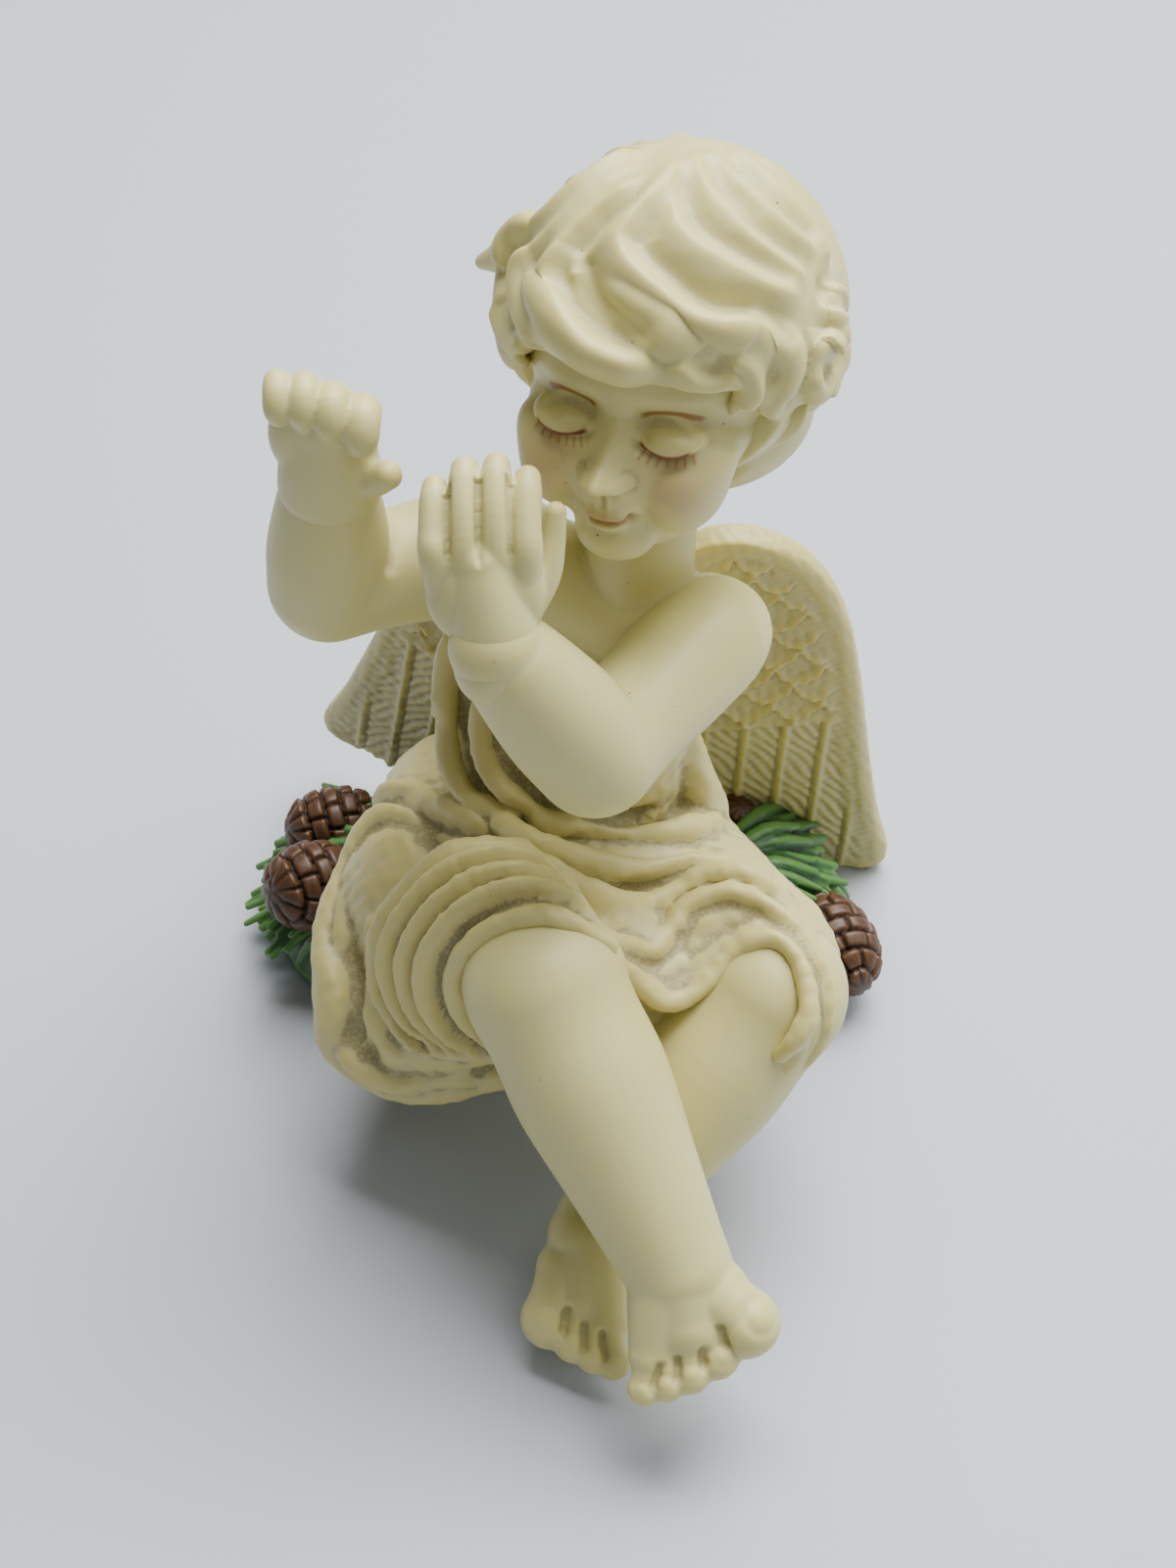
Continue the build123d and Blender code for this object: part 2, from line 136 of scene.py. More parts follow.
def through(knots: Sequence[Point], steps: int = 8) -> np.ndarray:
    """A smooth line through points.

    Args:
        knots: The points, each with any number of values.
        steps: How many samples lie between two knots.

    Returns:
        The samples, one row each.
    """
    line = np.array(knots, float)
    ends = np.vstack([2 * line[0] - line[1], line, 2 * line[-1] - line[-2]])
    rows = []
    for before, start, stop, after in zip(ends, ends[1:], ends[2:], ends[3:]):
        for step in range(steps):
            t = step / steps
            rows.append(
                0.5 * (2 * start + (stop - before) * t + (2 * before - 5 * start + 4 * stop - after) * t**2
                       + (3 * start - before - 3 * stop + after) * t**3)
            )
    return np.array([*rows, line[-1]])


@dataclass(frozen=True)
class Fold:
    """A crest worked along a line on a surface, with a hollow beside it.

    The hollow is on the side that is to the right of someone who walks the line upside down, seen from
    outside, which is +X for a line that runs down the front.
    """

    line: np.ndarray
    height: float
    width: float = 0.6
    hollow: float = 0.0
    beside: float = 1.4
    hollow_width: float = 0.7
    fade: float = 0.18
    slope: float = 1.0


class Clay:
    """One piece while it is modelled, at one unit to the millimetre."""

    def __init__(self, name: str, grain: float) -> None:
        """Starts a piece.

        Args:
            name: The finished piece's name.
            grain: The size of the clay's finest detail, in millimetres.
        """
        self.name = name
        self.grain = grain * 1.0
        self.lumps: list[bpy.types.Object] = []
        self.shape: bpy.types.Object | None = None

    def ball(self, centre: Point, radii: Point | float, turn: Euler | None = None) -> bpy.types.Object:
        """Adds an egg of clay.

        Args:
            centre: Its middle.
            radii: Its half sizes, or one radius.
            turn: How it is turned.

        Returns:
            The new lump.
        """
        size = (radii,) * 3 if isinstance(radii, (int, float)) else tuple(radii)
        deselect()
        bpy.ops.mesh.primitive_uv_sphere_add(segments=48, ring_count=24, radius=1.0)
        lump = bpy.context.object
        turning = turn.to_matrix().to_4x4() if turn else Matrix.Identity(4)
        lump.data.transform(Matrix.Translation(Vector(centre)) @ turning @ Matrix.Diagonal((*size, 1.0)))
        self.lumps.append(lump)
        return lump

    def roll(self, knots: Sequence[Point], radii: Sequence[float], steps: int = 6) -> None:
        """Adds a smooth roll of clay with round ends.

        Args:
            knots: The points that its middle goes through.
            radii: Its radius at each of them.
            steps: How many samples lie between two knots.
        """
        line = through([(*knot, radius) for knot, radius in zip(knots, radii)], steps)
        curve = bpy.data.curves.new("roll", "CURVE")
        curve.dimensions = "3D"
        curve.bevel_depth = 1.0
        curve.bevel_resolution = 16 if max(radii) > 2.4 else 5
        curve.use_fill_caps = True
        path = curve.splines.new("POLY")
        path.points.add(len(line) - 1)
        for knot, row in zip(path.points, line):
            knot.co = (*row[:3], 1.0)
            knot.radius = max(row[3], 0.05)
        lump = bpy.data.objects.new("roll", curve)
        bpy.context.scene.collection.objects.link(lump)
        deselect()
        lump.select_set(True)
        bpy.context.view_layer.objects.active = lump
        bpy.ops.object.convert(target="MESH")
        self.lumps.append(bpy.context.object)
        for row in (line[0], line[-1]):
            self.ball(row[:3], float(max(row[3], 0.05)))

    def pare(self, centre: Point, size: Point, turn: Matrix | None = None) -> None:
        """Cuts a box away from the newest lump.

        Args:
            centre: The box's middle.
            size: Its full sizes.
            turn: How it is turned and placed, applied after its centre.
        """
        lump = self.lumps[-1]
        deselect()
        bpy.ops.mesh.primitive_cube_add(size=1.0)
        knife = bpy.context.object
        box = Matrix.Translation(Vector(centre)) @ Matrix.Diagonal((*size, 1))
        knife.data.transform((turn or Matrix.Identity(4)) @ box)
        cut = lump.modifiers.new("Cut", "BOOLEAN")
        cut.operation = "DIFFERENCE"
        cut.object = knife
        bpy.context.view_layer.objects.active = lump
        bpy.ops.object.modifier_apply(modifier=cut.name)
        bpy.data.objects.remove(knife)

    def fuse(self, smooth: int, factor: float = 0.5) -> None:
        """Fuses the lumps into one skin and smooths it.

        Args:
            smooth: How many rounds of smoothing.
            factor: How strong each is.
        """
        deselect()
        for lump in self.lumps:
            lump.select_set(True)
        self.shape = self.lumps[0]
        bpy.context.view_layer.objects.active = self.shape
        if len(self.lumps) > 1:
            bpy.ops.object.join()
        self.lumps = [self.shape]
        self.shape.name = self.name
        remesh = self.shape.modifiers.new("Remesh", "REMESH")
        remesh.mode = "VOXEL"
        remesh.voxel_size = self.grain
        bpy.ops.object.modifier_apply(modifier=remesh.name)
        if smooth:
            soften = self.shape.modifiers.new("Smooth", "SMOOTH")
            soften.factor = factor
            soften.iterations = round(smooth * 1.8)
            bpy.ops.object.modifier_apply(modifier=soften.name)

    def points(self) -> np.ndarray:
        """Where the skin's vertices are, one row each."""
        mesh = self.shape.data
        flat = np.empty(len(mesh.vertices) * 3)
        mesh.vertices.foreach_get("co", flat)
        return flat.reshape(-1, 3)

    def normals(self) -> np.ndarray:
        """The skin's outward directions at its vertices, one row each."""
        mesh = self.shape.data
        flat = np.empty(len(mesh.vertices) * 3)
        mesh.vertex_normals.foreach_get("vector", flat)
        return flat.reshape(-1, 3)

    def place(self, points: np.ndarray) -> None:
        """Moves the skin's vertices."""
        self.shape.data.vertices.foreach_set("co", points.astype(np.float32).ravel())
        self.shape.data.update()

    def push(self, amount: np.ndarray) -> None:
        """Moves each vertex out along its normal by its own amount."""
        self.place(self.points() + self.normals() * amount[:, None])

    def relaxed(self, rounds: int) -> np.ndarray:
        """The vertices after rounds of averaging with their neighbours, one row each."""
        mesh = self.shape.data
        edges = np.empty(len(mesh.edges) * 2, np.int64)
        mesh.edges.foreach_get("vertices", edges)
        one, other = edges.reshape(-1, 2).T
        count = len(mesh.vertices)
        ends = np.concatenate([one, other])
        starts = np.concatenate([other, one])
        near = np.maximum(np.bincount(ends, minlength=count), 1)
        points = self.points()
        for _ in range(rounds):
            means = [np.bincount(ends, points[starts, axis], count) / near for axis in range(3)]
            points = 0.4 * points + 0.6 * np.stack(means, axis=1)
        return points

    def work(self, folds: Sequence[Fold]) -> None:
        """Works folds into the skin.

        Args:
            folds: The folds, whose lines lie near the skin.
        """
        points = self.points()
        normals = self.normals()
        amount = np.zeros(len(points))
        for fold in folds:
            line = snap(through(fold.line, 10), points)
            far = 3 * max(fold.width * fold.slope, abs(fold.beside) + fold.hollow_width)
            near = np.all((points > line.min(0) - far) & (points < line.max(0) + far), axis=1)
            chosen = np.flatnonzero(near)
            side, along = beside_line(points[chosen], normals[chosen], line)
            ends = np.clip(along / fold.fade, 0, 1) * np.clip((1 - along) / fold.fade, 0, 1)
            ends = ends * ends * (3 - 2 * ends)
            reach = np.where(side > 0, fold.width, fold.width * fold.slope)
            crest = fold.height * bell(side, reach)
            hollow = fold.hollow * bell(side - fold.beside, fold.hollow_width)
            amount[chosen] += ends * (crest - hollow)
        self.push(amount)

    def roughen(self, size: float, depth: float, seed: int = SEED) -> None:
        """Gives the skin the small unevenness of a hand-worked master.

        Args:
            size: How far apart the bumps are, in millimetres.
            depth: How deep they are.
            seed: Which pattern of bumps.
        """
        points = self.points() / size
        rng = np.random.default_rng(seed)
        amount = np.zeros(len(points))
        for _ in range(7):
            way = rng.normal(size=3)
            wave = points @ (way / np.linalg.norm(way)) * 6.28 * rng.uniform(0.7, 1.4)
            amount += np.sin(wave + rng.uniform(0, 6.28))
        self.push(depth * amount / 2.6)

    def finish(self, finish: "Finish", slot: str, *nodes: str) -> bpy.types.Object:
        """Turns the clay into a finished piece in metres.

        Args:
            finish: Its finish.
            slot: The name of a material slot; not used.
            nodes: The CAD nodes that it stands for.

        Returns:
            The piece.
        """
        mesh = self.shape.data
        # The hollow attribute marks where the skin dips in; the finishes darken it there with dust and
        # painted shade.
        broad = self.relaxed(24) - self.points()
        near = self.relaxed(3) - self.points()
        hollow = np.einsum("ij,ij->i", broad, self.normals()) / 0.16
        fine = np.einsum("ij,ij->i", near, self.normals()) / 0.05
        shade = mesh.attributes.new("hollow", "FLOAT", "POINT")
        shade.data.foreach_set("value", np.clip(0.65 * hollow + 0.35 * fine, -1, 1).astype(np.float32))
        self.place(self.points() * MM)
        mesh.shade_smooth()
        dress(self.shape, finish, nodes)
        LOG.info("%s: %d faces", self.name, len(mesh.polygons))
        return self.shape


def snap(line: np.ndarray, points: np.ndarray) -> np.ndarray:
    """The points of a cloud that are nearest to each sample of a line."""
    rows = []
    for sample in line:
        close = points[np.abs(points - sample).max(axis=1) < 4.0]
        if len(close):
            rows.append(close[np.argmin(((close - sample) ** 2).sum(axis=1))])
        else:
            rows.append(sample)
    made = np.array(rows)
    for _ in range(8):
        made[1:-1] = 0.25 * made[:-2] + 0.5 * made[1:-1] + 0.25 * made[2:]
    return made


def beside_line(points: np.ndarray, normals: np.ndarray, line: np.ndarray) -> tuple[np.ndarray, np.ndarray]:
    """How far points are from a line on a surface.

    Args:
        points: The points.
        normals: The surface's outward direction at each.
        line: The line's samples.

    Returns:
        Each point's distance, negative on one side of the line, and its share of the way along the line.
    """
    starts = line[:-1]
    spans = line[1:] - starts
    lengths = np.maximum((spans**2).sum(axis=1), 1e-9)
    best = np.full(len(points), np.inf)
    side = np.zeros(len(points))
    along = np.zeros(len(points))
    for index, (start, span, length) in enumerate(zip(starts, spans, lengths)):
        share = np.clip((points - start) @ span / length, 0, 1)
        offset = points - start - share[:, None] * span
        distance = (offset**2).sum(axis=1)
        nearer = distance < best
        best[nearer] = distance[nearer]
        way = np.cross(normals[nearer], span)
        sign = np.sign((offset[nearer] * way).sum(axis=1))
        side[nearer] = np.where(sign == 0, 1, sign) * np.sqrt(distance[nearer])
        along[nearer] = (index + share[nearer]) / len(starts)
    return side, along


def dress(piece: bpy.types.Object, finish: "Finish", nodes: Sequence[str]) -> None:
    """Gives a piece its material and its place in the frame.

    Args:
        piece: The piece.
        finish: Its finish.
        nodes: The CAD nodes that it stands for.
    """
    piece.data.materials.clear()
    piece.data.materials.append(finish.material())
    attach(piece, "root")
    if nodes:
        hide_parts(*nodes)


# Finishes

Colour = tuple[float, float, float]


class Tree:
    """Adds and joins shader nodes."""

    def __init__(self, tree: bpy.types.NodeTree) -> None:
        """Takes the tree to work in."""
        self.tree = tree

    def add(self, kind: str, **settings: object) -> bpy.types.Node:
        """A new node of a kind, with its properties set."""
        node = self.tree.nodes.new(kind)
        for name, value in settings.items():
            setattr(node, name, value)
        return node

    def feed(self, socket: bpy.types.NodeSocket, value: object) -> None:
        """Joins a socket to another, or sets its value."""
        if isinstance(value, bpy.types.NodeSocket):
            self.tree.links.new(value, socket)
        elif isinstance(value, tuple) and len(value) == 3 and socket.type == "RGBA":
            socket.default_value = (*value, 1.0)
        else:
            socket.default_value = value

    def sum(self, operation: str, *values: object) -> bpy.types.NodeSocket:
        """The result of a Math node."""
        node = self.add("ShaderNodeMath", operation=operation)
        for socket, value in zip(node.inputs, values):
            self.feed(socket, value)
        return node.outputs[0]

    def span(self, value: object, low: float, high: float) -> bpy.types.NodeSocket:
        """0 below low, 1 above high and a smooth step between; high may be the lower."""
        node = self.add("ShaderNodeMapRange", interpolation_type="SMOOTHSTEP")
        for socket, setting in zip(node.inputs, (value, low, high, 0.0, 1.0)):
            self.feed(socket, setting)
        return node.outputs[0]

    def mix(self, share: object, below: object, above: object, blend: str = "MIX") -> bpy.types.NodeSocket:
        """A mix of two colours."""
        node = self.add("ShaderNodeMix", data_type="RGBA", blend_type=blend)
        for socket, value in zip((node.inputs[0], node.inputs[6], node.inputs[7]), (share, below, above)):
            self.feed(socket, value)
        return node.outputs[2]

    def noise(self, where: object, scale: float, detail: float = 3.0) -> bpy.types.NodeSocket:
        """A noise pattern's value; scale is in patterns to the millimetre."""
        node = self.add("ShaderNodeTexNoise")
        self.feed(node.inputs["Vector"], where)
        self.feed(node.inputs["Scale"], scale / MM)
        self.feed(node.inputs["Detail"], detail)
        return node.outputs[0]


def group(
    name: str, inputs: dict[str, str], outputs: dict[str, str]
) -> tuple[bpy.types.NodeTree, Tree, dict, dict]:
    """A new shader node group.

    Args:
        name: Its name.
        inputs: The names and kinds (Float, Color, Vector) of what goes in.
        outputs: The same for what comes out.

    Returns:
        The group, a helper for its nodes, its input sockets and its output sockets, by name.
    """
    made = bpy.data.node_groups.new(name, "ShaderNodeTree")
    for label, kind in inputs.items():
        made.interface.new_socket(label, in_out="INPUT", socket_type=f"NodeSocket{kind}")
    for label, kind in outputs.items():
        made.interface.new_socket(label, in_out="OUTPUT", socket_type=f"NodeSocket{kind}")
    tree = Tree(made)
    entry = tree.add("NodeGroupInput")
    leave = tree.add("NodeGroupOutput")
    coming = {socket.name: socket for socket in entry.outputs if socket.name}
    going = {socket.name: socket for socket in leave.inputs if socket.name}
    return made, tree, coming, going


def weathering_and_shade() -> bpy.types.NodeTree:
    """The group that ages a cast surface and paints shade on it: tinted crests, dust and painted shade in the
    hollows, specks and a fine grain.
    """
    if "Weathering And Shade" in bpy.data.node_groups:
        return bpy.data.node_groups["Weathering And Shade"]
    made, tree, entry, leave = group(
        "Weathering And Shade",
        {"Base": "Color", "Crest": "Color", "Dust": "Color", "Crest Share": "Float", "Dust And Shade Share": "Float",
         "Specks": "Float"},
        {"Color": "Color", "Roughness": "Float", "Height": "Float"},
    )
    where = tree.add("ShaderNodeTexCoord").outputs["Object"]
    hollow = tree.add("ShaderNodeAttribute", attribute_name="hollow").outputs["Fac"]
    broad = tree.noise(where, 0.09, 2.0)
    fine = tree.noise(where, 1.1, 4.0)
    grit = tree.noise(where, 3.4, 2.0)
    crest = tree.sum("MULTIPLY", tree.span(hollow, 0.0, -0.55), entry["Crest Share"])
    colour = tree.mix(crest, entry["Base"], entry["Crest"])
    mottle = tree.sum("MULTIPLY", tree.span(broad, 0.42, 0.72), 0.35)
    colour = tree.mix(mottle, colour, entry["Crest"])
    # Dust and painted shade darken the hollows, in patches set by the grit noise.
    dust_and_shade_mask = tree.sum("MULTIPLY", tree.span(hollow, 0.05, 0.9), tree.span(grit, 0.1, 0.6))
    dust = tree.sum("MULTIPLY", dust_and_shade_mask, entry["Dust And Shade Share"])
    colour = tree.mix(dust, colour, entry["Dust"])
    cells = tree.add("ShaderNodeTexVoronoi")
    tree.feed(cells.inputs["Vector"], where)
    tree.feed(cells.inputs["Scale"], 0.62 / MM)
    tree.feed(cells.inputs["Randomness"], 1.0)
    dot = tree.span(cells.outputs["Distance"], 0.085, 0.05)
    kept = tree.span(tree.noise(where, 0.33, 1.0), 0.5, 0.62)
    wherever = tree.sum("ADD", tree.span(hollow, -0.2, 0.5), 0.35)
    likely = tree.sum("MULTIPLY", wherever, entry["Specks"])
    speck = tree.sum("MULTIPLY", tree.sum("MULTIPLY", dot, kept), likely)
    colour = tree.mix(speck, colour, (0.09, 0.06, 0.035))
    tree.feed(leave["Color"], colour)
    rough = tree.sum("ADD", tree.sum("MULTIPLY", fine, 0.2), tree.sum("MULTIPLY", dust, 0.25))
    tree.feed(leave["Roughness"], tree.sum("ADD", rough, 0.34))
    grain = tree.sum("ADD", tree.sum("MULTIPLY", fine, 0.6), tree.sum("MULTIPLY", grit, 0.25))
    tree.feed(leave["Height"], tree.sum("ADD", grain, tree.sum("MULTIPLY", dust, grit)))
    return made


@dataclass(frozen=True)
class Finish:
    """A cast resin finish with its ageing and the shade painted into its hollows."""

    name: str
    base: Colour
    crest: Colour
    # The colour of dust and of the shade painted into hollows; its share sets how strongly they darken.
    dust: Colour
    crest_share: float = 0.6
    dust_and_shade_share: float = 0.5
    specks: float = 0.8
    grain: float = 0.00003
    translucence: float = 0.18

    def colour(self, tree: Tree, colour: bpy.types.NodeSocket) -> bpy.types.NodeSocket:
        """What is painted over the resin; nothing on a plain finish."""
        return colour

    def material(self) -> bpy.types.Material:
        """The finish as a material, made once."""
        if self.name in bpy.data.materials:
            return bpy.data.materials[self.name]
        made = bpy.data.materials.new(self.name)
        made.use_nodes = True
        tree = Tree(made.node_tree)
        shader = made.node_tree.nodes["Principled BSDF"]
        aged = tree.add("ShaderNodeGroup", node_tree=weathering_and_shade())
        for label, value in (("Base", self.base), ("Crest", self.crest), ("Dust", self.dust)):
            tree.feed(aged.inputs[label], value)
        for label, value in (
            ("Crest Share", self.crest_share), ("Dust And Shade Share", self.dust_and_shade_share), ("Specks", self.specks),
        ):
            tree.feed(aged.inputs[label], value)
        bump = tree.add("ShaderNodeBump")
        tree.feed(bump.inputs["Strength"], 0.6)
        tree.feed(bump.inputs["Distance"], self.grain)
        tree.feed(bump.inputs["Height"], aged.outputs["Height"])
        tree.feed(shader.inputs["Base Color"], self.colour(tree, aged.outputs["Color"]))
        tree.feed(shader.inputs["Roughness"], aged.outputs["Roughness"])
        tree.feed(shader.inputs["Normal"], bump.outputs[0])
        shader.inputs["Subsurface Weight"].default_value = self.translucence
        shader.inputs["Subsurface Radius"].default_value = (1.0, 0.8, 0.4)
        shader.inputs["Subsurface Scale"].default_value = 0.0012
        shader.inputs["IOR"].default_value = 1.48
        return made


# Each finish's third colour is laid into its hollows as dust and painted shade; the second tints its crests.
IVORY = Finish("ivory resin", (0.66, 0.60, 0.262), (0.68, 0.595, 0.21), (0.38, 0.33, 0.16), 0.6, 0.45)
# The robe's dark third colour, at a high share, is painted shade that deepens its folds, with some dust.
ROBE = Finish(
    "draped resin", (0.60, 0.54, 0.25), (0.66, 0.57, 0.205), (0.27, 0.225, 0.11), 0.75, 0.75, 1.0, 0.00006,
)
WING = Finish("feathered resin", (0.53, 0.47, 0.205), (0.62, 0.53, 0.17), (0.31, 0.26, 0.105), 0.8, 0.6, 0.4)
GREEN = Finish(
    "bough paint", (0.014, 0.075, 0.013), (0.10, 0.24, 0.05), (0.002, 0.010, 0.003),
    0.9, 1.0, 0.2, 0.00004, 0.0,
)
BROWN = Finish(
    "cone paint", (0.045, 0.018, 0.006), (0.105, 0.045, 0.017), (0.006, 0.002, 0.001),
    0.9, 1.0, 0.2, 0.00004, 0.0,
)
FELT = Finish(
    "green felt", (0.02, 0.07, 0.035), (0.03, 0.10, 0.05), (0.01, 0.03, 0.015), 0.5, 0.5, 0.0, 0.00008, 0.0,
)
STEEL = Finish("pin steel", (0.5, 0.5, 0.5), (0.6, 0.6, 0.6), (0.3, 0.3, 0.3), 0.3, 0.3, 0.0, 0.00001, 0.0)


# Head and hair

@dataclass(frozen=True)
class HeadSizes:
    """Sizes of the head, in millimetres; its face looks along its own -Y."""

    width: float = 23.0
    yaw: float = -25.0
    face_yaw: float = -21.0
    pitch: float = -11.0
    hair_centre: tuple[float, float, float] = (0, 1.8, 3.2)
    hair_radii: tuple[float, float, float] = (13.1, 14.1, 13.0)


HEAD = HeadSizes()
EYE = (4.25, 0.95)
EYE_REACH = 3.65
BROW = (4.1, -2.95)
BROW_REACH = 3.4


def head_turn(sizes: HeadSizes = HEAD) -> Euler:
    """How the head's own frame is turned."""
    return Euler((math.radians(sizes.pitch), 0, math.radians(sizes.yaw)))


def face_turn(sizes: HeadSizes = HEAD) -> Euler:
    """How the face is turned; a little less than the hair."""
    return Euler((math.radians(sizes.pitch), 0, math.radians(sizes.face_yaw)))


@dataclass(frozen=True)
class Paint(Finish):
    """The resin finish with a painted face: lashes, lids, brows, blush and mouth."""

    lash: Colour = (0.17, 0.035, 0.010)
    tick: Colour = (0.50, 0.17, 0.05)
    brow: Colour = (0.34, 0.12, 0.02)
    blush: Colour = (0.55, 0.27, 0.17)
    lips: Colour = (0.42, 0.16, 0.10)

    def face_frame(self, tree: Tree) -> tuple[bpy.types.NodeSocket, ...]:
        """The head's own x without its sign, depth and height, in millimetres."""
        mapping = tree.add("ShaderNodeMapping", vector_type="TEXTURE")
        tree.feed(mapping.inputs["Vector"], tree.add("ShaderNodeTexCoord").outputs["Object"])
        tree.feed(mapping.inputs["Location"], tuple(Skeleton().head * MM))
        tree.feed(mapping.inputs["Rotation"], tuple(face_turn()))
        tree.feed(mapping.inputs["Scale"], (MM, MM, MM))
        parts = tree.add("ShaderNodeSeparateXYZ")
        tree.feed(parts.inputs[0], mapping.outputs[0])
        return tree.sum("ABSOLUTE", parts.outputs[0]), parts.outputs[1], parts.outputs[2]

    def arc(self, tree: Tree, across: object, up: object, centre: Point, reach: float, half: float,
            thick: float, half_angle: float, below: bool) -> tuple[bpy.types.NodeSocket, ...]:
        """A painted arc and the angle along it.

        Args:
            tree: The shader nodes.
            across: The distance from the middle of the face.
            up: The height.
            centre: The arc's centre.
            reach: Its radius.
            half: Half of how thick it is where it is full.
            thick: How much softer its edge gets.
            half_angle: How far it goes to each side, in degrees.
            below: Whether it hangs below its centre.

        Returns:
            Its share, from 0 to 1, and the angle from its middle, in radians.
        """
        aside = tree.sum("SUBTRACT", across, centre[0])
        over = tree.sum("SUBTRACT", up, centre[1])
        over = tree.sum("MULTIPLY", over, -1.0 if below else 1.0)
        angle = tree.sum("ARCTAN2", aside, over)
        off = tree.sum("ABSOLUTE", tree.sum("SUBTRACT", self.distance(tree, aside, over), reach))
        end = math.radians(half_angle)
        within = tree.span(tree.sum("ABSOLUTE", angle), end, end * 0.8)
        return tree.sum("MULTIPLY", tree.span(off, half + thick, half), within), angle

    def distance(self, tree: Tree, aside: object, over: object) -> bpy.types.NodeSocket:
        """How far a place is, from its two offsets."""
        squares = [tree.sum("MULTIPLY", offset, offset) for offset in (aside, over)]
        return tree.sum("SQRT", tree.sum("ADD", *squares))

    def spot(
        self, tree: Tree, across: object, up: object, centre: Point, reach: float
    ) -> bpy.types.NodeSocket:
        """A soft round spot, 1 in its middle."""
        aside = tree.sum("SUBTRACT", across, centre[0])
        over = tree.sum("SUBTRACT", up, centre[1])
        return tree.span(self.distance(tree, aside, over), reach, 0.0)

    def colour(self, tree: Tree, colour: bpy.types.NodeSocket) -> bpy.types.NodeSocket:
        """The aged resin with the face painted over it."""
        across, depth, up = self.face_frame(tree)
        front = tree.span(depth, -4.0, -6.0)
        cheek = tree.sum("MULTIPLY", self.spot(tree, across, up, (5.4, -5.8), 4.6), 0.38)
        lids = tree.sum("MULTIPLY", self.spot(tree, across, up, (4.25, -1.6), 2.6), 0.06)
        line = tree.sum("ABSOLUTE", tree.sum("SUBTRACT", up, -8.85))
        mouth = tree.sum("MULTIPLY", tree.span(line, 0.8, 0.05), tree.span(across, 2.3, 1.2))
        lash, angle = self.arc(tree, across, up, EYE, EYE_REACH, 0.12, 0.18, 38, True)
        fringe, angle = self.arc(tree, across, up, EYE, EYE_REACH + 0.55, 0.35, 0.35, 36, True)
        comb = tree.sum("SINE", tree.sum("MULTIPLY", angle, 40.0))
        ticks = tree.sum("MULTIPLY", fringe, tree.span(comb, 0.1, 0.9))
        brow, angle = self.arc(tree, across, up, BROW, BROW_REACH, 0.12, 0.20, 44, False)
        for share, tint, strength in (
            (cheek, self.blush, 1.0), (lids, self.blush, 1.0), (mouth, self.lips, 0.6),
            (ticks, self.tick, 0.55), (lash, self.lash, 0.95), (brow, self.brow, 0.85),
        ):
            share = tree.sum("MULTIPLY", tree.sum("MULTIPLY", share, front), strength)
            colour = tree.mix(share, colour, tint)
        return colour


FACE = Paint("painted resin", IVORY.base, IVORY.crest, IVORY.dust, IVORY.crest_share, IVORY.dust_and_shade_share)


